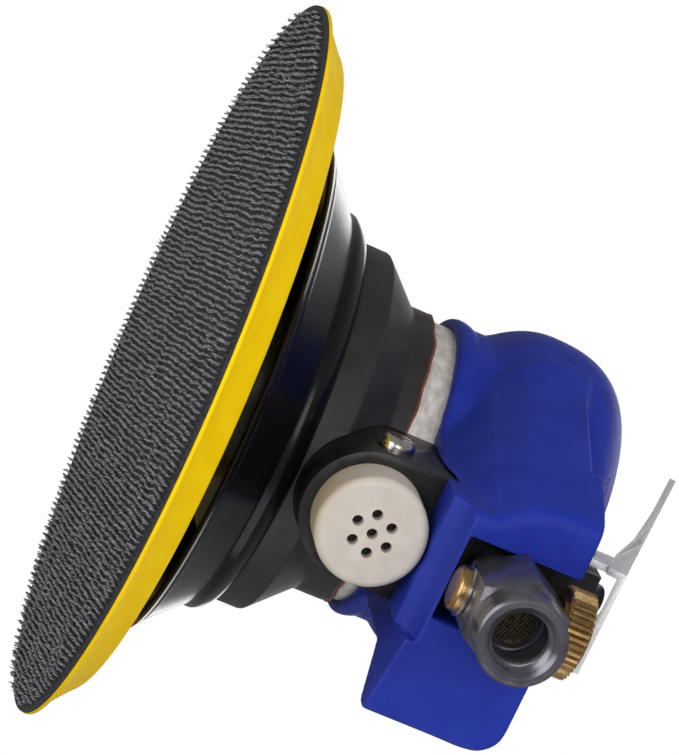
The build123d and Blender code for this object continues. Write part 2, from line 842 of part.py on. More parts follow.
def dome_outline(inset):
    """Half outline of the round part of the shell, taken in by an inset."""
    neck = neck_radius - inset
    bulge = bulge_radius - inset
    top = shell_top - inset
    neck_line = Line((neck, shell_bottom - inset), (neck, neck_top))
    side = Spline(
        (neck, neck_top), (bulge, bulge_height),
        tangents=[(0.0, 1.0), (0.0, 1.0)],
    )
    shoulder_rise = (top - bulge_height) * 0.84
    roof = Spline(
        (bulge, bulge_height), (bulge * 0.66, bulge_height + shoulder_rise), (0, top),
        tangents=[(0.0, 1.0), (-1.0, 0.0)],
    )
    axis_line = Line((0, top), (0, shell_bottom - inset))
    base = Line((0, shell_bottom - inset), (neck, shell_bottom - inset))
    return make_face(Curve() + [neck_line, side, roof, axis_line, base])


def make_grip_shell():
    dome = revolve(Plane.XZ * dome_outline(0), Axis.Z)
    bead = ring(bead_radius, 0, shell_bottom, shell_bottom + bead_height)
    bead = fillet(bead.edges().filter_by(GeomType.CIRCLE), 0.8)
    wing = [
        (panel_right, -panel_distance),
        (panel_right, -panel_distance + wing_depth),
        (wing_root + 4, -wing_root_distance - 6),
        (wing_root, -wing_root_distance),
        (wing_root, -bulge_radius * 0.8),
        (0, 0),
    ]
    lower_plan = Polyline(
        (-panel_left, -panel_distance), *wing, (-panel_left, -neck_radius * 0.5), close=True
    )
    upper_plan = Polyline(
        (-panel_left_upper, -panel_distance), *wing, (-tangent_reach, -tangent_distance), close=True
    )
    rear = Pos(0, 0, box_bottom) * extrude(make_face(lower_plan), ledge_height - box_bottom)
    rear = rear + Pos(0, 0, ledge_height) * extrude(make_face(upper_plan), box_top - ledge_height)
    panel = block(-60, panel_right, -panel_distance - 1, 60, box_bottom - 1, box_top)
    corner = panel.edges().filter_by(Axis.Y).group_by(Axis.Z)[-1].sort_by(Axis.X)[-1]
    rear = rear & fillet(corner, box_corner_round)
    body = dome + bead + rear
    ledge = Polyline(
        (-panel_distance - 1, box_bottom - 1),
        (-panel_distance - 1, box_bottom + ledge_rise + ledge_rise / ledge_run),
        (-panel_distance + ledge_run, box_bottom),
        (-panel_distance + ledge_run, box_bottom - 1),
        close=True,
    )
    ledge_cut = Pos(-panel_left - 1, 0, 0) * extrude(
        Plane.YZ * make_face(ledge), panel_left + 1 + ledge_width
    )
    cavity = revolve(Plane.XZ * dome_outline(shell_wall), Axis.Z)
    centre_boss = ring(6.0, 0, casing_top + slip_gap, shell_top)
    casing_space = ring(casing_upper_radius + slip_gap, 0, casing_step, casing_top + slip_gap)
    lower_space = ring(casing_radius + slip_gap, 0, shell_bottom - 1, casing_step + slip_gap)
    neck_space = cavity & ring(bulge_radius, 0, neck_top, shell_top)
    body = body - ledge_cut - (neck_space - centre_boss) - casing_space - lower_space
    body = body - arm_solid(slip_gap) - block_outline(slip_gap)
    recess = block(
        -recess_half_width, recess_half_width, -panel_distance - 1, -arm_end + slip_gap,
        recess_bottom, box_top + 1,
    )
    knob_space = rod_z(
        knob_radius + moving_gap + 0.4, inlet_height + fitting_hex / 2 - 0.5, shell_top, y=-regulator_distance
    )
    cap_space = rod_y(cap_radius + moving_gap, -panel_distance - 1, -block_front + 1, exhaust_height)
    half = lever_half_width + lever_thickness + moving_gap + 0.4
    lever_space = block(
        -half, half, -pivot_distance - ear_radius - 1.2, -valve_distance + 7.0,
        pivot_height - ear_radius - 1.0, shell_top + 20,
    )
    return one_solid(body - recess - knob_space - cap_space - lever_space)


# ---- Throttle lever -------------------------------------------------------------------

def in_lever_place(shape):
    """Puts a shape drawn on the lever's own plate where the lever is at rest."""
    return Pos(0, -lever_rear_distance, lever_rear_height) * Rot(lever_angle, 0, 0) * shape


def make_throttle_lever():
    length = (lever_tip_reach + lever_rear_distance) / math.cos(math.radians(lever_angle))
    flare = (lever_flare_start + lever_rear_distance) / math.cos(math.radians(lever_angle))
    half = lever_half_width + lever_thickness
    edges = []
    for side in (1, -1):
        edges.append(Spline(
            (side * half, flare), (side * lever_tip_half_width, length),
            tangents=[(0.0, 1.0), (side * 0.12, 1.0)],
        ))
    outline = Curve() + [
        Line((-half, 0), (half, 0)),
        Line((half, 0), (half, flare)),
        edges[0],
        Line((lever_tip_half_width, length), (-lever_tip_half_width, length)),
        edges[1],
        Line((-half, flare), (-half, 0)),
    ]
    plate = extrude(make_face(outline), lever_thickness / 2, both=True)
    tip_edges = plate.edges().filter_by(Axis.Z).sort_by(Axis.Y)[-2:]
    plate = fillet(tip_edges, lever_tip_round)
    flange_side = Polyline(
        (0, 0), (0, -flange_depth), (12, -flange_depth), (flange_reach * 0.5, -flange_depth * 0.45),
        (flange_reach, -lever_thickness / 2), (flange_reach, 0), close=True,
    )
    body = in_lever_place(plate)
    under = in_lever_place(block(-40, 40, -40, 60, -60, lever_thickness / 2))
    for side in (-1, 1):
        x0 = min(side * half, side * lever_half_width)
        flange = Pos(x0, 0, 0) * extrude(Plane.YZ * make_face(flange_side), lever_thickness)
        cheek = rod_x(ear_radius, x0, x0 + lever_thickness, -pivot_distance, pivot_height)
        web = block(
            x0, x0 + lever_thickness, -pivot_distance - ear_radius, -pivot_distance + ear_radius,
            pivot_height, lever_rear_height + 10,
        )
        body = body + in_lever_place(flange) + ((cheek + web) & under)
    hole = rod_x(
        pivot_pin_radius + running_gap, -half - 5, half + 5, -pivot_distance, pivot_height
    )
    return one_solid(body - hole)


def make_lever_pin():
    half = lever_half_width + lever_thickness + 0.6
    return rod_x(pivot_pin_radius, -half, half, -pivot_distance, pivot_height)


# ---- Write every piece ------------------------------------------------------------------

lower_inner_race, lower_outer_race = race_pair(
    shaft_radius, lower_bearing_radius, lower_plate_bottom, lower_bearing_top, lower_ball
)
upper_inner_race, upper_outer_race = race_pair(
    shaft_tip_radius, upper_bearing_radius, upper_bearing_bottom, upper_bearing_top, upper_ball
)
spindle_inner_race, spindle_outer_race = race_pair(
    spindle_journal_radius, spindle_bearing_radius, spindle_bearing_bottom, spindle_bearing_top,
    spindle_ball, -orbit_offset, spindle_ball_rows,
)

pieces = {
    "hook_sheet": make_hook_sheet(),
    "pad_foam": make_pad_foam(),
    "pad_plate": make_pad_plate(),
    "pad_stud": make_pad_stud(),
    "pad_spindle": make_pad_spindle(),
    "spindle_bearing_inner": spindle_inner_race,
    "spindle_bearing_outer": spindle_outer_race,
    "spindle_bearing_balls": ball_set(
        spindle_journal_radius, spindle_bearing_radius, spindle_bearing_bottom, spindle_bearing_top,
        spindle_ball, 9, -orbit_offset, spindle_ball_rows,
    ),
    "spindle_washer": make_spindle_washer(),
    "spindle_screw": make_spindle_screw(),
    "bearing_retaining_ring": make_retaining_ring(),
    "balancer": make_balancer(),
    "rotor_key": key_box(-press_gap),
    "rotor": make_rotor(),
    "lock_ring": make_lock_ring(),
    "lower_end_plate": make_lower_end_plate(),
    "lower_bearing_inner": lower_inner_race,
    "lower_bearing_outer": lower_outer_race,
    "lower_bearing_balls": ball_set(
        shaft_radius, lower_bearing_radius, lower_plate_bottom, lower_bearing_top,
        lower_ball, lower_ball_count,
    ),
    "cylinder_liner": make_cylinder_liner(),
    "liner_dowel": make_liner_dowel(),
    "upper_end_plate": make_upper_end_plate(),
    "upper_bearing_inner": upper_inner_race,
    "upper_bearing_outer": upper_outer_race,
    "upper_bearing_balls": ball_set(
        shaft_tip_radius, upper_bearing_radius, upper_bearing_bottom, upper_bearing_top,
        upper_ball, upper_ball_count,
    ),
    "end_gasket": make_end_gasket(),
    "motor_casing": make_motor_casing(),
    "valve_cap": make_valve_cap(),
    "valve_seat": make_valve_seat(),
    "valve_bushing": make_valve_bushing(),
    "valve_stem": make_valve_stem(),
    "valve_head": make_valve_head(),
    "valve_spring": make_valve_spring(),
    "inlet_fitting": make_inlet_fitting(),
    "screen_ring": make_screen_ring(),
    "inlet_screen": make_inlet_screen(),
    "regulator_spindle": make_regulator_spindle(),
    "regulator_knob": make_regulator_knob(),
    "regulator_clip": make_regulator_clip(),
    "regulator_button": make_regulator_button(),
    "exhaust_block": make_exhaust_block(),
    "clamp_screw": make_clamp_screw(),
    "muffler_cap": make_muffler_cap(),
    "muffler_felt": make_muffler_felt(),
    "shroud": make_shroud(),
    "skirt": make_skirt(),
    "grip_shell": make_grip_shell(),
    "throttle_lever": make_throttle_lever(),
    "lever_pin": make_lever_pin(),
}
for step in range(vane_count):
    pieces[f"vane_{step + 1}"] = make_vane(step)

os.makedirs("parts", exist_ok=True)
for name, shape in pieces.items():
    export_step(shape, f"parts/{name}.step")
print(len(pieces), "pieces written")
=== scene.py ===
import math
import bmesh
import bpy
import numpy as np
from mathutils import Matrix, Vector


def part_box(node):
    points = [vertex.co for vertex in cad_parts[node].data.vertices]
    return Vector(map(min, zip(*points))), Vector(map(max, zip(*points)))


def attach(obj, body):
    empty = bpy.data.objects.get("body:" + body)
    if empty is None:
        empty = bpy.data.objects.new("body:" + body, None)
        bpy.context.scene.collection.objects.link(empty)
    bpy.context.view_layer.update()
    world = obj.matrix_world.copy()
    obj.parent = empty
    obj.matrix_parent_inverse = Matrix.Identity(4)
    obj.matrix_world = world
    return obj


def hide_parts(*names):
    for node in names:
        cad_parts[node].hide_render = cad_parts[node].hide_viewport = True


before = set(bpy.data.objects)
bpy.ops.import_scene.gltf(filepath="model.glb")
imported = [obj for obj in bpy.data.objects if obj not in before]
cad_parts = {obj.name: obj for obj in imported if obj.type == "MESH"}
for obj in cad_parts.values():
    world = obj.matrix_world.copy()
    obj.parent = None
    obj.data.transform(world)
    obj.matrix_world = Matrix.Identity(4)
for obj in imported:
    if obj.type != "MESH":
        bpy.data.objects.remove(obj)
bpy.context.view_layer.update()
MM = 0.001


# Hook face. Black nylon monofilament is woven into a backing cloth in straight rows and cut
# into small hooks, which hold the abrasive disc. The cloth is glued to the foam.
def paint(name, colour, second, patch, rough, rough_spread, grain, bump, metal=0.0, stretch=(1, 1, 1)):
    """A finish of two mixed colours, uneven gloss and a grain. Patch and grain are in mm."""
    finish = bpy.data.materials.new(name)
    finish.use_nodes = True
    nodes = finish.node_tree.nodes
    links = finish.node_tree.links
    shader = nodes["Principled BSDF"]
    shader.inputs["Metallic"].default_value = metal
    place = nodes.new("ShaderNodeTexCoord")
    turn = nodes.new("ShaderNodeMapping")
    turn.inputs["Scale"].default_value = stretch
    links.new(place.outputs["Object"], turn.inputs["Vector"])

    def cloud(size, detail):
        noise = nodes.new("ShaderNodeTexNoise")
        noise.inputs["Scale"].default_value = 1 / (size * MM)
        noise.inputs["Detail"].default_value = detail
        links.new(turn.outputs["Vector"], noise.inputs["Vector"])
        return noise

    broad = cloud(patch, 5)
    blend = nodes.new("ShaderNodeValToRGB")
    blend.color_ramp.elements[0].position = 0.35
    blend.color_ramp.elements[1].position = 0.65
    blend.color_ramp.elements[0].color = (*colour, 1)
    blend.color_ramp.elements[1].color = (*second, 1)
    links.new(broad.outputs["Fac"], blend.inputs["Fac"])
    links.new(blend.outputs["Color"], shader.inputs["Base Color"])
    gloss = nodes.new("ShaderNodeMapRange")
    gloss.inputs["To Min"].default_value = max(rough - rough_spread, 0.02)
    gloss.inputs["To Max"].default_value = min(rough + rough_spread, 1)
    links.new(cloud(patch * 0.6, 6).outputs["Fac"], gloss.inputs["Value"])
    links.new(gloss.outputs["Result"], shader.inputs["Roughness"])
    raised = nodes.new("ShaderNodeBump")
    raised.inputs["Strength"].default_value = 1.0
    raised.inputs["Distance"].default_value = bump * MM
    links.new(cloud(grain, 3).outputs["Fac"], raised.inputs["Height"])
    links.new(raised.outputs["Normal"], shader.inputs["Normal"])
    return finish


def tune(finish, **amounts):
    """Sets further inputs of a finish's shader by their names."""
    for name, amount in amounts.items():
        finish.node_tree.nodes["Principled BSDF"].inputs[name.replace("_", " ")].default_value = amount


def painted_shade_along(finish, axis, start, end, start_share, end_share):
    """Paints shade into a finish: scales its colour along one axis of the object, from one share to
    another.
    """
    nodes = finish.node_tree.nodes
    links = finish.node_tree.links
    apart = nodes.new("ShaderNodeSeparateXYZ")
    share = nodes.new("ShaderNodeMapRange")
    share.inputs["From Min"].default_value = start
    share.inputs["From Max"].default_value = end
    share.inputs["To Min"].default_value = start_share
    share.inputs["To Max"].default_value = end_share
    scaled = nodes.new("ShaderNodeVectorMath")
    scaled.operation = "SCALE"
    links.new(next(n for n in nodes if n.type == "TEX_COORD").outputs["Object"], apart.inputs[0])
    links.new(apart.outputs[axis], share.inputs["Value"])
    links.new(next(n for n in nodes if n.type == "VALTORGB").outputs["Color"], scaled.inputs[0])
    links.new(share.outputs["Result"], scaled.inputs["Scale"])
    links.new(scaled.outputs[0], nodes["Principled BSDF"].inputs["Base Color"])


def keep(piece, body, slot, *nodes):
    """Lets a finished piece ride on its body and stand for its CAD nodes."""
    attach(piece, body)
    if nodes:
        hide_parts(*nodes)
    return piece


def solid(name, mesh, finish, crease):
    """A shaded object from a mesh whose place is in its points."""
    piece = bpy.data.objects.new(name, mesh)
    bpy.context.scene.collection.objects.link(piece)
    mesh.materials.clear()
    mesh.materials.append(finish)
    mesh.shade_smooth()
    mesh.set_sharp_from_angle(angle=math.radians(crease))
    return piece


def tree_of(name, sizes):
    """An empty node tree that asks for the named sizes and gives a shape."""
    tree = bpy.data.node_groups.new(name, "GeometryNodeTree")
    for size, value in sizes.items():
        kind = "NodeSocketMaterial" if size == "Finish" else "NodeSocketFloat"
        kind = "NodeSocketInt" if isinstance(value, int) else kind
        tree.interface.new_socket(name=size, in_out="INPUT", socket_type=kind)
    tree.interface.new_socket(name="Geometry", in_out="OUTPUT", socket_type="NodeSocketGeometry")
    return tree, tree.nodes.new("NodeGroupInput").outputs


def step(tree, kind, settings=None, **inputs):
    """Adds a node, sets it, and joins or sets its inputs. Returns its first live output."""
    node = tree.nodes.new(kind)
    for name, value in (settings or {}).items():
        setattr(node, name, value)
    for name, value in inputs.items():
        wanted = name.replace("_", " ")
        if name[0] == "n" and name[1:].isdigit():
            socket = node.inputs[int(name[1:])]
        else:
            socket = next(s for s in node.inputs if s.name == wanted and s.enabled)
        if isinstance(value, bpy.types.NodeSocket):
            tree.links.new(value, socket)
        else:
            socket.default_value = value
    return next((s for s in node.outputs if s.enabled), None)


def sums(tree, operation, first, second=0.0):
    return step(tree, "ShaderNodeMath", {"operation": operation}, n0=first, n1=second)


def finished_tree(tree, shape, finish):
    """Ends a tree: instances are made real and take the finish."""
    real = step(tree, "GeometryNodeRealizeInstances", Geometry=shape)
    painted = step(tree, "GeometryNodeSetMaterial", Geometry=real, Material=finish)
    end = tree.nodes.new("NodeGroupOutput")
    tree.links.new(painted, end.inputs[0])


def applied(piece, change):
    """Gives a piece the mesh that its modifier makes, and takes the modifier off."""
    bpy.context.view_layer.update()
    result = piece.evaluated_get(bpy.context.evaluated_depsgraph_get())
    mesh = bpy.data.meshes.new_from_object(result)
    piece.modifiers.remove(change)
    piece.data = mesh
    return mesh


def grown(name, tree, sizes):
    """The plain mesh that a node tree grows from these sizes."""
    carrier = bpy.data.objects.new(name, bpy.data.meshes.new(name))
    bpy.context.scene.collection.objects.link(carrier)
    growth = carrier.modifiers.new("growth", "NODES")
    growth.node_group = tree
    for socket in tree.interface.items_tree:
        if socket.name in sizes:
            growth[socket.identifier] = sizes[socket.name]
    mesh = applied(carrier, growth)
    mesh.shade_smooth()
    mesh.set_sharp_from_angle(angle=math.radians(40.0))
    return carrier


def turned(name, outline, finish, steps=192, centre=(0.0, 0.0), crease=35.0, shape=None):
    """A piece turned about an upright axis from a closed outline of (radius, height) in mm."""
    form = bmesh.new()
    loops = []
    for radius, height in outline:
        if radius < 1e-6:
            loops.append([form.verts.new((0, 0, height))])
            continue
        loops.append([
            form.verts.new((radius * math.cos(a), radius * math.sin(a), height))
            for a in np.linspace(0, 2 * math.pi, steps, endpoint=False)
        ])
    for first, second in zip(loops, loops[1:] + loops[:1]):
        for k in range(steps):
            n = (k + 1) % steps
            low = [first[k % len(first)], first[n % len(first)]]
            high = [second[n % len(second)], second[k % len(second)]]
            corners = list(dict.fromkeys(low + high))
            if len(corners) > 2:
                form.faces.new(corners)
    for point in form.verts:
        x, y, z = point.co
        if shape:
            x, y, z = shape(x, y, z)
        point.co = ((x + centre[0]) * MM, (y + centre[1]) * MM, z * MM)
    bmesh.ops.recalc_face_normals(form, faces=form.faces)
    mesh = bpy.data.meshes.new(name)
    form.to_mesh(mesh)
    form.free()
    return solid(name, mesh, finish, crease)


sheet_low, sheet_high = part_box("hook_sheet")
pad_x = (sheet_low.x + sheet_high.x) / 2
pad_radius = (sheet_high.x - sheet_low.x) / 2
sheet_top = sheet_high.z
cloth_bottom = sheet_top - 0.45 * MM

# Painted highlight and painted shade: the hook wire's colours are a light grey, much lighter than black
# nylon, standing in for the glints on the hooks. Its colour is then scaled down to near black from the tips
# towards the backing cloth, standing in for the shade between the hooks.
hook_wire = paint("hook wire", (0.20, 0.19, 0.21), (0.46, 0.44, 0.48), 1.1, 0.42, 0.1, 0.2, 0.01)
painted_shade_along(hook_wire, "Z", 0.0003, 0.0015, 1.0, 0.06)
cloth = paint("hook backing cloth", (0.008, 0.008, 0.009), (0.05, 0.048, 0.052), 0.5, 0.8, 0.1, 0.35, 0.35)

hook_sizes = {
    "Radius": pad_radius - 1.2 * MM, "Row Gap": 1.27 * MM, "Hook Gap": 0.85 * MM,
    "Row Turn": -math.radians(11.0), "Wire": 0.125 * MM, "Root": cloth_bottom + 0.1 * MM,
    "Wander": 1.9 * MM, "Wander Length": 13.0 * MM, "Middle X": pad_x, "Left": -1.0, "Right": 0.0,
    "Seed": 7, "Finish": hook_wire,
}
hook_tree, size = tree_of("hook rows", hook_sizes)
across = sums(hook_tree, "MULTIPLY", size["Radius"], 2.0)
columns = sums(hook_tree, "DIVIDE", across, size["Row Gap"])
rows = sums(hook_tree, "DIVIDE", across, size["Hook Gap"])
bed = step(hook_tree, "GeometryNodeMeshGrid", Size_X=across, Size_Y=across,
           Vertices_X=columns, Vertices_Y=rows)
bed = step(hook_tree, "GeometryNodeTransform", Geometry=bed,
           Rotation=step(hook_tree, "ShaderNodeCombineXYZ", Z=size["Row Turn"]))
stray = step(hook_tree, "FunctionNodeRandomValue", {"data_type": "FLOAT_VECTOR"}, Seed=size["Seed"],
             Min=(-0.00009, -0.0002, -0.00005), Max=(0.00009, 0.0002, 0.00005))
bed = step(hook_tree, "GeometryNodeSetPosition", Geometry=bed, Offset=stray)
drift_scale = sums(hook_tree, "DIVIDE", 1.0, size["Wander Length"])
drift = step(hook_tree, "ShaderNodeTexNoise", Scale=drift_scale, Detail=1.5)
aside = sums(hook_tree, "MULTIPLY", sums(hook_tree, "SUBTRACT", drift, 0.5), size["Wander"])
bed = step(hook_tree, "GeometryNodeSetPosition", Geometry=bed,
           Offset=step(hook_tree, "ShaderNodeCombineXYZ", X=aside))
spot = step(hook_tree, "GeometryNodeInputPosition")
far_out = step(hook_tree, "ShaderNodeVectorMath", {"operation": "LENGTH"}, n0=spot)
outside = sums(hook_tree, "GREATER_THAN", far_out, size["Radius"])
spot_x = step(hook_tree, "ShaderNodeSeparateXYZ", n0=spot)
too_left = sums(hook_tree, "LESS_THAN", spot_x, size["Left"])
too_right = sums(hook_tree, "GREATER_THAN", spot_x, size["Right"])
spare = sums(hook_tree, "ADD", sums(hook_tree, "ADD", outside, too_left), too_right)
bed = step(hook_tree, "GeometryNodeDeleteGeometry", {"domain": "POINT"}, Geometry=bed, Selection=spare)
path = step(hook_tree, "GeometryNodeCurveQuadraticBezier", Resolution=5, Start=(0, -0.0002, 0.0),
            Middle=(0, -0.0004, -0.0023), End=(0, 0.0008, -0.0006))
section = step(hook_tree, "GeometryNodeCurvePrimitiveCircle", Resolution=3, Radius=size["Wire"])
hook = step(hook_tree, "GeometryNodeCurveToMesh", Curve=path, Profile_Curve=section, Fill_Caps=True)
about_face = step(hook_tree, "FunctionNodeRandomValue", {"data_type": "INT"}, Min=0, Max=1, Seed=11)
sway = step(hook_tree, "FunctionNodeRandomValue", {"data_type": "FLOAT_VECTOR"}, Seed=12,
            Min=(-0.25, -0.22, -0.2), Max=(0.25, 0.22, 0.2))
heading = sums(hook_tree, "ADD", sums(hook_tree, "MULTIPLY", about_face, math.pi), size["Row Turn"])
facing = step(hook_tree, "ShaderNodeVectorMath", {"operation": "ADD"}, n0=sway,
              n1=step(hook_tree, "ShaderNodeCombineXYZ", Z=heading))
growth = step(hook_tree, "FunctionNodeRandomValue", {"data_type": "FLOAT"}, Min=0.82, Max=1.12, Seed=13)
hooks = step(hook_tree, "GeometryNodeInstanceOnPoints", Points=bed, Instance=hook,
             Rotation=facing, Scale=growth)
hooks = step(hook_tree, "GeometryNodeTransform", Geometry=hooks,
             Translation=step(hook_tree, "ShaderNodeCombineXYZ", X=size["Middle X"], Z=size["Root"]))
finished_tree(hook_tree, hooks, size["Finish"])
strip_edges = (-1.0, -pad_radius / 2, 0.0, pad_radius / 2, 1.0)
strip_names = ("hooks_left", "hooks_middle_left", "hooks_middle_right", "hooks_right")
for name, left, right in zip(strip_names, strip_edges, strip_edges[1:]):
    hook_sizes.update({"Left": left, "Right": right})
    strip = grown(name, hook_tree, hook_sizes)
    for point in strip.data.vertices:
        point.co.z = max(point.co.z, 0.0)
    keep(strip, "pad", "hook_fabric")

pad_r = pad_radius / MM
cloth_z = cloth_bottom / MM
cloth_top = sheet_top / MM
backing = turned("hook_cloth", [
    (0, cloth_top), (0, cloth_z), (pad_r - 0.5, cloth_z), (pad_r - 0.15, cloth_z + 0.15),
    (pad_r - 0.1, cloth_top),
], cloth, centre=(pad_x / MM, 0))
keep(backing, "pad", "hook_fabric", "hook_sheet")


# Pad foam. Yellow polyurethane foam is cast round the pad plate and comes out of the mould
# with a closed skin, a tapered edge and a soft corner at the top.
foam_low, foam_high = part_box("pad_foam")
foam_finish = paint("foam skin", (0.95, 0.60, 0.002), (0.98, 0.66, 0.004), 5.0, 0.62, 0.06, 0.5, 0.02)
tune(foam_finish, Specular_IOR_Level=0.06, Subsurface_Weight=0.05, Subsurface_Radius=(0.004, 0.003, 0.0005))
base = foam_low.z / MM
top = foam_high.z / MM
foam_top_radius = 67.3
hub_hole_r = 9.05
hub_hole_floor = top - 1.5
slope = (pad_r - foam_top_radius) / (top - base)
foam = turned("pad_foam_skin", [
    (0, base), (pad_r - 0.35, base), (pad_r - 0.08, base + 0.12), (pad_r, base + 0.45),
    (pad_r - 0.08, base + 0.8), (pad_r - slope * 1.6, base + 1.6), (pad_r - slope * 3.3, base + 3.3),
    (pad_r - slope * 5.2, base + 5.2), (foam_top_radius + 0.9, top - 0.6),
    (foam_top_radius + 0.35, top - 0.2), (foam_top_radius - 0.5, top),
    (hub_hole_r, top), (hub_hole_r, hub_hole_floor), (0, hub_hole_floor),
], foam_finish, centre=(pad_x / MM, 0))
keep(foam, "pad", "foam_yellow", "pad_foam")


# Pad plate, stud and the spindle that they screw to. The plate is black fibre laminate, the
# stud and spindle are turned steel, and a screw and washer hold the spindle in its bearing.
steel = paint("turned steel", (0.42, 0.42, 0.41), (0.55, 0.55, 0.54),
              3.0, 0.3, 0.08, 0.15, 0.01, 1.0, (1, 1, 6))
black_plate = paint("black laminate", (0.010, 0.010, 0.011), (0.02, 0.02, 0.021),
                    4.0, 0.55, 0.1, 0.6, 0.04)
bearing_steel = paint("bearing steel", (0.58, 0.58, 0.58), (0.66, 0.66, 0.65),
                      3.0, 0.16, 0.04, 0.2, 0.003, 1.0)


def dress(finish, *names):
    """Gives CAD nodes that already have the right shape their finish."""
    for name in names:
        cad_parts[name].data.materials[0] = finish


dress(black_plate, "pad_plate")
dress(steel, "pad_stud", "pad_spindle", "spindle_washer", "spindle_screw", "bearing_retaining_ring")
dress(bearing_steel, "spindle_bearing_inner", "spindle_bearing_outer", "spindle_bearing_balls")


# Balancer, rotor and vanes. The balancer is one piece of machined steel with the motor shaft,
# the rotor is keyed to it, and five resin vanes slide in the rotor's slots.
heavy_steel = paint("machined steel", (0.32, 0.31, 0.30), (0.44, 0.43, 0.42),
                    5.0, 0.36, 0.08, 0.2, 0.012, 1.0, (1, 1, 5))
vane_resin = paint("vane resin", (0.14, 0.075, 0.03), (0.22, 0.12, 0.05),
                   1.5, 0.6, 0.1, 0.4, 0.03, 0.0, (1, 1, 6))
dress(heavy_steel, "balancer", "rotor", "rotor_key")
dress(vane_resin, "vane_1", "vane_2", "vane_3", "vane_4", "vane_5")
dress(bearing_steel, "lower_bearing_inner", "lower_bearing_outer", "lower_bearing_balls")
dress(bearing_steel, "upper_bearing_inner", "upper_bearing_outer", "upper_bearing_balls")


# Motor casing. A die-cast aluminium barrel with its inlet arm, turned outside where the shroud
# grips it, so the bright band under the handle shows fine scratches and handling marks.
def scratched(name, colour, second, rough, lines, depth):
    """Bare metal with a cast patch pattern and long fine scratches across each other."""
    finish = paint(name, colour, second, 2.2, rough, 0.13, 0.5, 0.05, 0.35, (1, 1, 1.4))
    nodes = finish.node_tree.nodes
    links = finish.node_tree.links
    relief = next(n for n in nodes if n.type == "BUMP")
    place = next(n for n in nodes if n.type == "TEX_COORD")
    last = relief.inputs["Height"].links[0].from_socket
    for tilt in lines:
        turn = nodes.new("ShaderNodeMapping")
        turn.inputs["Rotation"].default_value = (0, tilt, tilt * 2)
        turn.inputs["Scale"].default_value = (90, 90, 2200)
        links.new(place.outputs["Object"], turn.inputs["Vector"])
        noise = nodes.new("ShaderNodeTexNoise")
        noise.inputs["Scale"].default_value = 1.0
        noise.inputs["Detail"].default_value = 2.0
        links.new(turn.outputs["Vector"], noise.inputs["Vector"])
        edge = nodes.new("ShaderNodeMapRange")
        edge.inputs["From Min"].default_value = 0.62
        edge.inputs["From Max"].default_value = 0.70
        edge.inputs["To Max"].default_value = -depth
        links.new(noise.outputs["Fac"], edge.inputs["Value"])
        both = nodes.new("ShaderNodeMath")
        both.operation = "ADD"
        links.new(last, both.inputs[0])
        links.new(edge.outputs["Result"], both.inputs[1])
        last = both.outputs[0]
    links.new(last, relief.inputs["Height"])
    return finish


cast_alloy = scratched("scratched cast alloy", (0.60, 0.565, 0.53), (0.86, 0.82, 0.78),
                       0.38, (0.5, -0.4, 1.1), 1.0)
# Painted shade: the casing's colour is scaled down to near black on the inlet arm, behind y = -30 mm,
# standing in for the shade inside the handle's rear recess.
arm_shade_start = -0.030
painted_shade_along(cast_alloy, "Y", arm_shade_start, arm_shade_start + 0.001, 0.015, 1.0)
dress(cast_alloy, "motor_casing")
dress(heavy_steel, "lock_ring", "lower_end_plate", "upper_end_plate", "cylinder_liner")
gasket_paper = paint("gasket paper", (0.10, 0.07, 0.05), (0.14, 0.10, 0.07), 2.0, 0.8, 0.1, 0.4, 0.04)
dress(gasket_paper, "end_gasket")
dress(steel, "liner_dowel")


# Shroud. A moulded black rubber cup that stretches over the casing and is sealed there with a
# thin brown line of sealant. It is cut out at the rear for the exhaust block.
def block_form():
    """The exhaust block's outside as a bar along Y: half round below and square above."""
    gap = 0.1 * MM
    outer_end = -0.06
    inner_end = -0.02
    low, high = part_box("exhaust_block")
    half = (high.x - low.x) / 2 + gap
    middle = low.z + (high.x - low.x) / 2
    roof = high.z + gap
    corners = [(half, roof), (-half, roof)]
    corners += [(-half * math.cos(a), middle - half * math.sin(a)) for a in np.linspace(0, math.pi, 49)]
    form = bmesh.new()
    face = form.faces.new([form.verts.new((x, inner_end, z)) for x, z in corners])
    drawn = bmesh.ops.extrude_face_region(form, geom=[face])["geom"]
    for point in drawn:
        if isinstance(point, bmesh.types.BMVert):
            point.co.y = outer_end
    bmesh.ops.recalc_face_normals(form, faces=form.faces)
    mesh = bpy.data.meshes.new("block space")
    form.to_mesh(mesh)
    form.free()
    return mesh


def carve(piece, cutter):
    """Cuts another form out of a piece and leaves a plain mesh."""
    tool = bpy.data.objects.new("cutter", cutter)
    bpy.context.scene.collection.objects.link(tool)
    cut = piece.modifiers.new("cut", "BOOLEAN")
    cut.object = tool
    cut.solver = "EXACT"
    applied(piece, cut)
    bpy.data.objects.remove(tool)


rubber = paint("black rubber", (0.016, 0.014, 0.015), (0.026, 0.023, 0.024), 6.0, 0.5, 0.07, 0.5, 0.015)
sealant = paint("brown sealant", (0.15, 0.045, 0.026), (0.24, 0.08, 0.045), 1.2, 0.6, 0.1, 0.5, 0.1)
shroud_low, shroud_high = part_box("shroud")
shroud_r = shroud_high.x / MM
collar = 29.5
rim = shroud_high.z / MM
foot = shroud_low.z / MM
corner = 34.8
shoulder = 43.0
collar_r = collar + 1.1
grip_r = collar + 0.03


def ragged(x, y, z):
    """The hand-trimmed top edge of the shroud: higher on one side, lower at the rear."""
    a = math.atan2(y, x)
    share = min(max((z - shoulder - 1.0) / (rim - shoulder - 1.0), 0.0), 1.0)
    z += share * (1.35 + 1.75 * math.cos(a) - 2.6 * max(0.0, -math.sin(a)) ** 2)
    z += share * (0.22 * math.sin(5 * a + 1) + 0.16 * math.sin(11 * a) + 0.1 * math.sin(23 * a + 2))
    return x, y, z


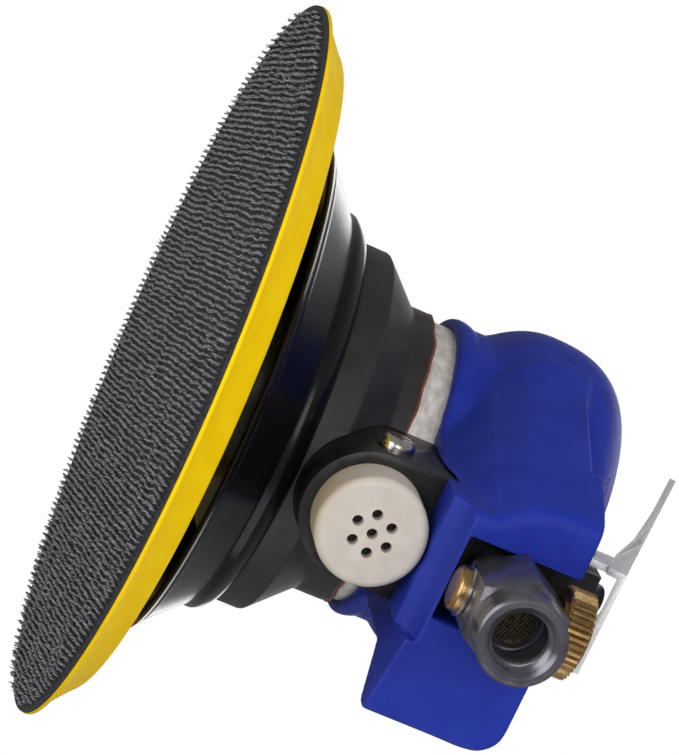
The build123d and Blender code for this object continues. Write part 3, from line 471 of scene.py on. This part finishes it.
shroud = turned("rubber_shroud", [
    (shroud_r, foot), (shroud_r, corner - 0.35), (shroud_r - 0.12, corner), (shroud_r - 0.4, corner + 0.3),
    (collar_r + 0.35, shoulder - 0.35), (collar_r + 0.1, shoulder), (collar_r, shoulder + 0.4),
    (collar_r, rim - 1.2), (collar_r - 0.05, rim - 0.3), (collar_r - 0.3, rim), (collar + 0.45, rim),
    (grip_r, rim - 0.2), (grip_r, rim - 1.2), (grip_r, shoulder - 4.0), (35.3, corner - 1.6), (35.3, foot),
], rubber, shape=ragged)
carve(shroud, block_form())
shroud.data.materials.clear()
shroud.data.materials.append(rubber)
keep(shroud, "body", "shroud_rubber", "shroud")

bead_path = [
    (collar + 0.55 + 0.62 * math.cos(a), rim + 0.1 + 0.42 * math.sin(a))
    for a in np.linspace(0, 2 * math.pi, 9)[:-1]
]
bead = turned("sealant_line", bead_path, sealant, shape=ragged)
carve(bead, block_form())
keep(bead, "body", "shroud_rubber")


# Skirt. A glossy black moulded flange that keeps dust and fingers out of the gap above the
# pad. It snaps under the shroud and has a rolled lip at its shoulder and a double rim below.
gloss_black = paint("gloss black moulding", (0.003, 0.003, 0.004), (0.005, 0.005, 0.006),
                    12.0, 0.21, 0.03, 3.0, 0.01)
tune(gloss_black, Specular_IOR_Level=0.32)
skirt_low, skirt_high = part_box("skirt")
hem = skirt_low.z / MM
hem_r = skirt_high.x / MM
throat = skirt_high.z / MM
lean = 1.8


def leaning(x, y, z):
    """The skirt sits a little askew: it leans to the side below the shroud."""
    return x - lean * (throat - z) / (throat - hem), y, z


skirt = turned("skirt_flange", [
    (38.5, throat), (39.4, throat - 0.25), (40.4, throat - 0.8), (41.3, throat - 1.6), (41.9, throat - 2.5),
    (42.3, 25.4), (42.4, 24.8), (42.25, 24.2), (42.35, 23.7), (hem_r - 2.6, hem + 2.3),
    (hem_r - 1.9, hem + 1.75), (hem_r - 1.6, hem + 1.7), (hem_r - 1.35, hem + 1.35),
    (hem_r - 0.5, hem + 0.75), (hem_r - 0.1, hem + 0.5), (hem_r, hem + 0.25), (hem_r - 0.2, hem),
    (hem_r - 2.4, hem), (40.6, 22.8), (39.6, 23.7), (35.3, throat - 2.4), (35.3, throat),
], gloss_black, steps=256, shape=leaning, crease=28)
keep(skirt, "body", "skirt_gloss", "skirt")


# Exhaust block. Black-anodised aluminium, machined from bar with its edges broken, and
# clamped on the casing by a nickel-plated screw at its side.
def softened(name, node, width, finish):
    """A copy of a CAD node with its loose triangles merged and its edges broken."""
    crease = 30.0
    form = bmesh.new()
    form.from_mesh(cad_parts[node].data)
    bmesh.ops.remove_doubles(form, verts=form.verts, dist=1e-6)
    bmesh.ops.dissolve_limit(form, angle_limit=math.radians(1.0), verts=form.verts, edges=form.edges)
    mesh = bpy.data.meshes.new(name)
    form.to_mesh(mesh)
    form.free()
    piece = solid(name, mesh, finish, crease)
    broken = piece.modifiers.new("broken edges", "BEVEL")
    broken.width = width * MM
    broken.segments = 2
    broken.limit_method = "ANGLE"
    broken.angle_limit = math.radians(38)
    mesh = applied(piece, broken)
    mesh.shade_smooth()
    mesh.set_sharp_from_angle(angle=math.radians(crease))
    return piece


black_metal = paint("black anodised", (0.006, 0.006, 0.007), (0.013, 0.013, 0.014),
                    4.0, 0.34, 0.08, 0.35, 0.02)
exhaust = softened("exhaust_block_body", "exhaust_block", 0.3, black_metal)
keep(exhaust, "body", "block_black", "exhaust_block")
nickel = paint("nickel plate", (0.52, 0.49, 0.44), (0.70, 0.67, 0.62), 1.0, 0.2, 0.08, 0.25, 0.02, 1.0)
dress(nickel, "clamp_screw")


# Muffler. A cream cap of sintered plastic with seven drilled holes, pressed in the block, and
# a grey felt plug behind it that the exhaust air passes through.
cream = paint("cream plastic", (0.55, 0.50, 0.45), (0.61, 0.56, 0.505), 4.0, 0.45, 0.06, 0.4, 0.02)
tune(cream, Subsurface_Weight=0.08, Subsurface_Radius=(0.002, 0.0015, 0.001))
felt = paint("grey felt", (0.02, 0.018, 0.016), (0.05, 0.045, 0.04), 0.5, 0.9, 0.08, 0.2, 0.1)
dress(cream, "muffler_cap")
dress(felt, "muffler_felt")


# Inlet fitting. A black-nickelled hexagon bar, drilled and tapped with a quarter-inch pipe
# thread for the air plug, with a wire screen pushed down to the bottom of the bore.
black_nickel = paint("black nickel", (0.10, 0.095, 0.115), (0.18, 0.17, 0.20),
                     5.0, 0.26, 0.08, 0.3, 0.012, 0.7)
fitting_low, fitting_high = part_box("inlet_fitting")
inlet_z = (fitting_low.z + fitting_high.z) / 2
mouth_y = fitting_low.y
bore_r = 5.75 * MM
fitting = softened("fitting_body", "inlet_fitting", 0.25, black_nickel)
keep(fitting, "body", "fitting_black", "inlet_fitting")
brass_wire = paint("brass wire", (0.10, 0.075, 0.04), (0.25, 0.18, 0.09), 0.6, 0.4, 0.1, 0.3, 0.02, 1.0)
thread_sizes = {
    "Radius": bore_r + 0.05 * MM, "Length": 9.4 * MM, "Turns": 8.0, "Depth": 0.62 * MM,
    "Mouth": mouth_y + 1.3 * MM, "Axis Height": inlet_z, "Finish": black_nickel,
}
thread_tree, size = tree_of("inside thread", thread_sizes)
helix = step(thread_tree, "GeometryNodeCurveSpiral", Resolution=48, Rotations=size["Turns"],
             Start_Radius=size["Radius"], End_Radius=size["Radius"], Height=size["Length"])
tooth = step(thread_tree, "GeometryNodeCurvePrimitiveCircle", Resolution=4, Radius=size["Depth"])
ridge = step(thread_tree, "GeometryNodeCurveToMesh", Curve=helix, Profile_Curve=tooth, Fill_Caps=True)
ridge = step(thread_tree, "GeometryNodeTransform", Geometry=ridge, Rotation=(-math.pi / 2, 0, 0),
             Translation=step(thread_tree, "ShaderNodeCombineXYZ", Y=size["Mouth"], Z=size["Axis Height"]))
finished_tree(thread_tree, ridge, size["Finish"])
thread = grown("inlet_thread", thread_tree, thread_sizes)
keep(thread, "body", "fitting_black")
dress(black_nickel, "screen_ring", "inlet_screen")

ring_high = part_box("screen_ring")[1]
screen_y = ring_high.y - 0.15 * MM
weave_turn = 0.35
wire_sizes = {
    "Radius": 4.4 * MM, "Gap": 0.62 * MM, "Wire": 0.13 * MM, "Turn": 0.0,
    "Place": screen_y, "Axis Height": inlet_z, "Finish": brass_wire,
}
wire_tree, size = tree_of("screen wires", wire_sizes)
count = sums(wire_tree, "DIVIDE", sums(wire_tree, "MULTIPLY", size["Radius"], 2.0), size["Gap"])
start = step(wire_tree, "ShaderNodeCombineXYZ", X=sums(wire_tree, "MULTIPLY", size["Radius"], -0.98))
pace = step(wire_tree, "ShaderNodeCombineXYZ", X=size["Gap"])
row = step(wire_tree, "GeometryNodeMeshLine", {"mode": "OFFSET"},
           Count=count, Start_Location=start, Offset=pace)
wire_x = step(wire_tree, "ShaderNodeSeparateXYZ", n0=step(wire_tree, "GeometryNodeInputPosition"))
radius_squared = sums(wire_tree, "MULTIPLY", size["Radius"], size["Radius"])
inside = sums(wire_tree, "SUBTRACT", radius_squared, sums(wire_tree, "MULTIPLY", wire_x, wire_x))
reach = sums(wire_tree, "MULTIPLY", sums(wire_tree, "SQRT", sums(wire_tree, "MAXIMUM", inside, 0.0)), 2.0)
wire = step(wire_tree, "GeometryNodeMeshCylinder", Vertices=6, Radius=size["Wire"], Depth=1.0)
wires = step(wire_tree, "GeometryNodeInstanceOnPoints", Points=row, Instance=wire,
             Scale=step(wire_tree, "ShaderNodeCombineXYZ", X=1.0, Y=1.0, Z=reach))
wires = step(wire_tree, "GeometryNodeTransform", Geometry=wires,
             Rotation=step(wire_tree, "ShaderNodeCombineXYZ", Y=size["Turn"]),
             Translation=step(wire_tree, "ShaderNodeCombineXYZ", Y=size["Place"], Z=size["Axis Height"]))
finished_tree(wire_tree, wires, size["Finish"])
screen_layers = (("screen_warp", weave_turn, 0.0), ("screen_weft", weave_turn + math.pi / 2, 0.2 * MM))
for name, turn, back in screen_layers:
    wire_sizes.update({"Turn": turn, "Place": screen_y - back})
    keep(grown(name, wire_tree, wire_sizes), "body", "fitting_black")


# Air regulator. A brass knob with a straight knurl turns a ported spindle across the fitting,
# and a spring clip and a brass button hold it underneath.
brass = paint("brass", (0.36, 0.235, 0.10), (0.52, 0.36, 0.17), 1.6, 0.3, 0.1, 0.25, 0.03, 1.0)
knob_low, knob_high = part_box("regulator_knob")
knob_y = (knob_low.y + knob_high.y) / 2
knob_r = (knob_high.x - knob_low.x) / 2
knob_step = knob_low.z + 0.6 * MM
knob_top = knob_high.z
knurl_depth = 0.42
core_r = knob_r / MM - knurl_depth
low_z = knob_step / MM
high_z = knob_top / MM
knob_core = turned("knob_core", [
    (0, low_z - 0.6), (6.2, low_z - 0.6), (6.2, low_z), (core_r - 0.4, low_z), (core_r, low_z + 0.4),
    (core_r, high_z - 0.4), (core_r - 0.4, high_z), (3.0, high_z), (2.95, high_z - 1.2), (0, high_z - 1.2),
], brass, steps=96, centre=(0, knob_y / MM))
keep(knob_core, "regulator", "brass", "regulator_knob")
knurl_sizes = {
    "Radius": knob_r - knurl_depth * MM, "Tooth": 0.6 * MM,
    "Length": knob_top - knob_step - 0.5 * MM, "Teeth": 38,
    "Middle Y": knob_y, "Middle Z": (knob_top + knob_step) / 2, "Finish": brass,
}
knurl_tree, size = tree_of("straight knurl", knurl_sizes)
circle = step(knurl_tree, "GeometryNodeMeshCircle", Vertices=size["Teeth"], Radius=size["Radius"])
spin = step(knurl_tree, "FunctionNodeAlignEulerToVector", {"axis": "X"},
            Vector=step(knurl_tree, "GeometryNodeInputPosition"))
prism = step(knurl_tree, "GeometryNodeMeshCylinder", Vertices=3, Radius=size["Tooth"], Depth=size["Length"])
teeth = step(knurl_tree, "GeometryNodeInstanceOnPoints", Points=circle, Instance=prism, Rotation=spin)
teeth = step(knurl_tree, "GeometryNodeTransform", Geometry=teeth,
             Translation=step(knurl_tree, "ShaderNodeCombineXYZ", Y=size["Middle Y"], Z=size["Middle Z"]))
finished_tree(knurl_tree, teeth, size["Finish"])
keep(grown("knob_knurl", knurl_tree, knurl_sizes), "regulator", "brass")
dress(brass, "regulator_button")
dress(nickel, "regulator_clip")
dress(steel, "regulator_spindle")


# Throttle valve. A steel stem under the lever opens a rubber-faced head off its brass seat,
# against a spring that stands on the screwed cap.
seal_rubber = paint("seal rubber", (0.012, 0.012, 0.013), (0.02, 0.02, 0.021), 2.0, 0.6, 0.1, 0.4, 0.02)
dress(steel, "valve_stem", "valve_spring", "valve_cap")
dress(brass, "valve_seat", "valve_bushing")
dress(seal_rubber, "valve_head")


# Grip shell. The blue handle is one moulding of glass-filled nylon with a fine spark-eroded
# grain. Its dome fits the palm, a box behind it holds the inlet, and it slides over the casing.
def soft_min(a, b, k):
    h = np.clip(0.5 + 0.5 * (b - a) / k, 0, 1)
    return b + (a - b) * h - k * h * (1 - h)


def soft_max(a, b, k):
    return -soft_min(-a, -b, k)


def outline_distance(px, py, corners):
    """Signed distance to a closed outline of straight sides, negative inside."""
    nearest = np.full(px.shape, 1e9)
    inside = np.zeros(px.shape, bool)
    for (ax, ay), (bx, by) in zip(corners, corners[1:] + corners[:1]):
        ex, ey = bx - ax, by - ay
        wx, wy = px - ax, py - ay
        t = np.clip((wx * ex + wy * ey) / (ex * ex + ey * ey), 0, 1)
        nearest = np.minimum(nearest, (wx - t * ex) ** 2 + (wy - t * ey) ** 2)
        drop = by - ay if by != ay else 1e-9
        crossed = ((ay > py) != (by > py)) & (px < ax + ex * (py - ay) / drop)
        inside ^= crossed
    return np.where(inside, -1, 1) * np.sqrt(nearest)


neck_r = 30.55
neck_top = 60.4
dome_r = 36.2
dome_middle = 73.0
dome_top = 96.0
bead_r = 1.6
dome_side = [
    (neck_r - 0.35 + bead_r * math.cos(a), 53.9 + (2.9 if a > 0 else 1.5) * math.sin(a))
    for a in np.linspace(-1.1, math.pi / 2, 12)
]
dome_side += [(neck_r, 57.6), (neck_r, neck_top)]
for share in np.linspace(0.08, 1.0, 12):
    side_r = neck_r + (dome_r - neck_r) * (1 - (1 - share) ** 2.0)
    dome_side.append((side_r, neck_top + share * (dome_middle - neck_top)))
for a in np.linspace(0.06, math.pi / 2, 24):
    rise_share = math.sin(a) ** 1.25
    side_r = dome_r * max(0.0, 1 - rise_share ** 2.6) ** (1 / 3.2)
    dome_side.append((side_r, dome_middle + (dome_top - dome_middle) * rise_share))
half_outline = dome_side + [(-r, z) for r, z in dome_side[-2::-1]]
chart_pitch = 0.25
chart_foot = 45
chart_r, chart_z = np.meshgrid(
    np.arange(0, 85, chart_pitch), np.arange(chart_foot, 105, chart_pitch), indexing="ij"
)
dome_chart = outline_distance(chart_r, chart_z, half_outline)
box_left = 16.4
box_right = 29.7
back_face = -66.0
shell_foot = 52.5
wide_plan = [
    (-box_left, -75), (box_right, -75), (box_right, -62), (25, -55),
    (21.4, -49), (21, -30), (5, 0), (-34.2, -11.8),
]
narrow_plan = [
    (-14.0, -75), (box_right, -75), (box_right, -62), (25, -55),
    (21.2, -49), (20.9, -30), (5, 0), (-14.0, -15),
]
wing_start = 13.9
knob_distance = 71.2
muffler_z = 42
shell_pitch = 0.62


def dome_distance(x, y, z):
    """Looks up the round part of the shell in its chart, with its roof lower to the rear."""
    share = np.clip((z - 74) / 18, 0, 1)
    behind = 0.5 * (5 - y + np.sqrt((5 - y) ** 2 + 64))
    lowered = z + 0.1 * behind * share * share * (3 - 2 * share)
    a = np.clip(np.hypot(x, y) / chart_pitch, 0, chart_r.shape[0] - 2)
    b = np.clip((lowered - chart_foot) / chart_pitch, 0, chart_r.shape[1] - 2)
    i, j = a.astype(int), b.astype(int)
    a, b = a - i, b - j
    low = dome_chart[i, j] * (1 - b) + dome_chart[i, j + 1] * b
    return low * (1 - a) + (dome_chart[i + 1, j] * (1 - b) + dome_chart[i + 1, j + 1] * b) * a


def slab(x, y, z, low, high):
    """Signed distance to an upright box, good enough for cutting."""
    return np.maximum.reduce([low[0] - x, x - high[0], low[1] - y, y - high[1], low[2] - z, z - high[2]])


def shell_distance(x, y, z):
    """The handle as one field: negative in the plastic. Everything here is in mm."""
    dome = dome_distance(x, y, z)
    radius = np.hypot(x, y)
    levels = [60.4, 61.2, 62.1, 63.6, 65.3, 66.9, 68.6, 70.2, 71.9, 73.5]
    taken_in = [5.65, 5.3, 4.5, 3.3, 2.0, 1.2, 0.7, 0.3, 0.1, 0.0]
    wide = outline_distance(x, y, wide_plan) + np.interp(z, levels, taken_in) + np.maximum(neck_top - z, 0)
    tucked = np.where(x < 0, x - np.clip(64 - z, 0, 9) * 0.08, x)
    narrow = soft_min(outline_distance(tucked, y, narrow_plan), radius - 30.5, 9)
    narrow = soft_max(narrow, z - 73, 1)
    rear = soft_min(narrow, wide, 1.4)
    rear = soft_max(rear, back_face - y, np.where(x < 0, 3.0, 0.9))
    corner = np.hypot(np.maximum(x - box_right + 7, 0), np.maximum(z - 73.2, 0)) - 7
    rear = soft_max(rear, corner, 0.8)
    rear = soft_max(rear, z - 80 - (y - back_face) * 0.12, 1.2)
    wing_foot = np.where(x > wing_start, 52.7 + 1.9 * np.clip((box_right - x) / 15.7, 0, 1), shell_foot)
    rear = soft_max(rear, wing_foot - z, 0.7)
    lug = soft_max(rear, y + 47.0, 1.2)
    rear = np.minimum(soft_max(rear, z - 78.2, 1.2), lug)
    body = soft_min(dome, rear, 2.2)
    body = soft_max(body, shell_foot - z, 0.4)
    cove = np.maximum((np.hypot((y + 67) / 6.8, (z - 52.0) / 4.7) - 1) * 4.7, x - wing_start)
    body = soft_max(body, -cove, 0.5)
    recess = slab(x, y, z, (-8.4, -80, 57.3), (8.4, -56.9, 120))
    knob_notch = np.maximum(np.hypot(x, y + knob_distance) - 9.05, 76 - z)
    lever_slot = slab(x, y, z, (-11.35, -55.2, 78), (11.35, -33, 120))
    cap_notch = np.maximum(np.hypot(x, z - muffler_z) - 11.0, y + 48.5)
    hollow = np.maximum.reduce([dome + 3, 62.0 - z, 6.0 - radius])
    barrel = np.maximum(radius - 29.6, z - 57.1)
    motor = np.maximum(radius - 27.6, z - 88.6)
    arm = slab(x, y, z, (-10.6, -57.1, 58.9), (10.6, -24, 77.6))
    upper_arm = slab(x, y, z, (-8.7, -57.1, 58.9), (8.7, -24, 85.6))
    block_round = np.maximum(np.hypot(x, z - muffler_z) - 13, z - muffler_z)
    block_space = np.minimum(block_round, slab(x, y, z, (-13, -80, muffler_z), (13, -20, 55.1)))
    block_space = np.maximum(block_space, -49.6 - y)
    block_space = np.maximum(block_space, y + 20)
    for space, k in (
        (recess, 0.5), (knob_notch, 0.3), (lever_slot, 0.6), (cap_notch, 0.3), (hollow, 0.8),
        (barrel, 0.3), (motor, 0.3), (arm, 0.3), (upper_arm, 0.3), (block_space, 0.4),
    ):
        body = soft_max(body, -space, k)
    pocket_reach = np.sqrt(((x + 18.5) / 3.0) ** 2 + ((y + 44.5) / 4.2) ** 2 + ((z - 80.5) / 2.8) ** 2)
    pocket = (pocket_reach - 1) * 2.8
    body = soft_max(body, -pocket, 0.4)
    return body


def skinned(distance, low, high, pitch):
    """A closed quad skin over the zero level of a field, drawn on to that level."""
    axes = [np.arange(a, b + pitch, pitch) for a, b in zip(low, high)]
    field = distance(*np.meshgrid(*axes, indexing="ij"))
    inside = field < 0
    count = np.array(field.shape) - 1
    total = np.zeros((*count, 3))
    hits = np.zeros(count)
    unit = np.eye(3, dtype=int)
    for axis in range(3):
        u, v = unit[(axis + 1) % 3], unit[(axis + 2) % 3]
        for offset in (0 * u, u, v, u + v):
            start = tuple(slice(o, o + n) for o, n in zip(offset, count))
            end = tuple(slice(o, o + n) for o, n in zip(offset + unit[axis], count))
            f0, f1 = field[start], field[end]
            crossed = inside[start] != inside[end]
            t = np.where(crossed, f0 / np.where(crossed, f0 - f1, 1), 0)
            for k in range(3):
                total[..., k] += np.where(crossed, offset[k] + (t if k == axis else 0), 0)
            hits += crossed
    live = hits > 0
    number = np.full(count, -1)
    number[live] = np.arange(live.sum())
    cells = np.argwhere(live)
    points = (cells + total[live] / hits[live][:, None]) * pitch + np.array(low)
    faces = []
    for axis in range(3):
        u, v = unit[(axis + 1) % 3], unit[(axis + 2) % 3]
        start = tuple(slice(1, n) if k != axis else slice(0, n) for k, n in enumerate(count))
        end = tuple(slice(1, n) if k != axis else slice(1, n + 1) for k, n in enumerate(count))
        crossed = inside[start] != inside[end]
        found = np.argwhere(crossed)
        found[:, [(axis + 1) % 3, (axis + 2) % 3]] += 1
        ring = [number[tuple((found - o).T)] for o in (0 * u, u, u + v, v)]
        quads = np.stack(ring, 1)
        outward = inside[tuple(found.T)]
        quads[~outward] = quads[~outward][:, ::-1]
        faces.append(quads)
    for _ in range(4):
        p = points.T
        value = distance(*p)
        slope = np.stack([
            (distance(*(p + 0.02 * e[:, None])) - distance(*(p - 0.02 * e[:, None]))) / 0.04
            for e in unit
        ], 1)
        steep = np.maximum((slope ** 2).sum(1), 0.25)
        points -= slope * np.clip(value / steep, -0.25, 0.25)[:, None]
    return points, np.concatenate(faces)


shell_points, shell_faces = skinned(shell_distance, (-37.5, -67.0, 51.6), (37.5, 37.5, 97.0), shell_pitch)
shell_mesh = bpy.data.meshes.new("grip_shell_moulding")
shell_mesh.from_pydata((shell_points * MM).tolist(), [], shell_faces.tolist())
nylon = paint("blue nylon", (0.010, 0.024, 0.29), (0.014, 0.032, 0.33), 9.0, 0.5, 0.05, 0.42, 0.055)
tune(nylon, Specular_IOR_Level=0.22)
shell = solid("grip_shell_moulding", shell_mesh, nylon, 50)
keep(shell, "body", "shell_blue", "grip_shell")


# Throttle lever. Pressed from stainless steel sheet, with two ears bent down round the pivot
# pin, a flared and rounded tip, and a brushed face.
lever_steel = paint("brushed stainless", (0.78, 0.78, 0.79), (0.88, 0.88, 0.89),
                    4.0, 0.38, 0.07, 0.12, 0.012, 0.45, (7, 1, 7))
lever = softened("throttle_lever_plate", "throttle_lever", 0.22, lever_steel)
keep(lever, "lever", "lever_steel", "throttle_lever")
dress(steel, "lever_pin")


# Studio. A pale floor under the pad that can be looked through from below, soft lamps and a
# camera low behind the tool, rolled on its side.
floor_mesh = bpy.data.meshes.new("floor")
floor_mesh.from_pydata([(-3, -3, 0), (3, -3, 0), (3, 3, 0), (-3, 3, 0)], [], [(0, 1, 2, 3)])
floor = bpy.data.objects.new("floor", floor_mesh)
bpy.context.scene.collection.objects.link(floor)
floor_paint = bpy.data.materials.new("pale floor")
floor_paint.use_nodes = True
nodes = floor_paint.node_tree.nodes
links = floor_paint.node_tree.links
nodes["Principled BSDF"].inputs["Base Color"].default_value = (0.82, 0.82, 0.82, 1)
nodes["Principled BSDF"].inputs["Roughness"].default_value = 0.7
clear = nodes.new("ShaderNodeBsdfTransparent")
side = nodes.new("ShaderNodeNewGeometry")
mix = nodes.new("ShaderNodeMixShader")
links.new(side.outputs["Backfacing"], mix.inputs["Fac"])
links.new(nodes["Principled BSDF"].outputs["BSDF"], mix.inputs[1])
links.new(clear.outputs["BSDF"], mix.inputs[2])
links.new(mix.outputs["Shader"], nodes["Material Output"].inputs["Surface"])
floor_mesh.materials.append(floor_paint)
floor.visible_shadow = False
floor.visible_diffuse = False
floor.visible_glossy = False

world = bpy.data.worlds.new("white studio")
bpy.context.scene.world = world
world.use_nodes = True
sky = world.node_tree
backdrop = sky.nodes["Background"]
backdrop.inputs["Color"].default_value = (1, 1, 1, 1)
soft = sky.nodes.new("ShaderNodeBackground")
soft.inputs["Color"].default_value = (1, 1, 1, 1)
soft.inputs["Strength"].default_value = 0.27
seen = sky.nodes.new("ShaderNodeLightPath")
pick = sky.nodes.new("ShaderNodeMixShader")
sky.links.new(seen.outputs["Is Camera Ray"], pick.inputs["Fac"])
sky.links.new(soft.outputs["Background"], pick.inputs[1])
sky.links.new(backdrop.outputs["Background"], pick.inputs[2])
sky.links.new(pick.outputs["Shader"], sky.nodes["World Output"].inputs["Surface"])
bpy.context.scene.view_settings.view_transform = "Standard"

azimuth = math.radians(12.0)
rise = math.radians(10.87)
roll = math.radians(113.0)
eye = Vector((-0.1488, -0.6431, -0.0907))
forward = Vector((math.sin(azimuth) * math.cos(rise), math.cos(azimuth) * math.cos(rise), math.sin(rise)))
level = Vector((math.cos(azimuth), -math.sin(azimuth), 0))
upright = level.cross(forward)
right = level * math.cos(roll) + upright * math.sin(roll)
up = -level * math.sin(roll) + upright * math.cos(roll)
lens = bpy.data.cameras.new("camera")
lens.lens = 160.2
lens.sensor_width = 36.0
lens.clip_start = 0.01
camera = bpy.data.objects.new("camera", lens)
turn = Matrix((right, up, -forward)).transposed().to_4x4()
camera.matrix_world = Matrix.Translation(eye) @ turn
bpy.context.scene.collection.objects.link(camera)
bpy.context.scene.camera = camera


def lamp(name, place, size, power, shines=True):
    """A square soft lamp that faces the tool."""
    light = bpy.data.lights.new(name, "AREA")
    light.size = size
    light.energy = power
    holder = bpy.data.objects.new(name, light)
    target = Vector((0, 0, 0.045))
    facing = (target - Vector(place)).to_track_quat("-Z", "Y").to_matrix().to_4x4()
    holder.matrix_world = Matrix.Translation(place) @ facing
    holder.visible_glossy = shines
    bpy.context.scene.collection.objects.link(holder)


lamp("key", (-0.75, -0.75, 0.75), 0.7, 6.5, shines=False)
lamp("fill", (0.8, -0.7, 0.2), 0.8, 2.4)
lamp("under", (-0.2, -0.6, -0.8), 0.9, 7.0)
lamp("rim", (0.2, 0.9, 0.6), 0.7, 3.0)
lamp("front", (-0.35, -1.1, 0.05), 0.5, 2.5)
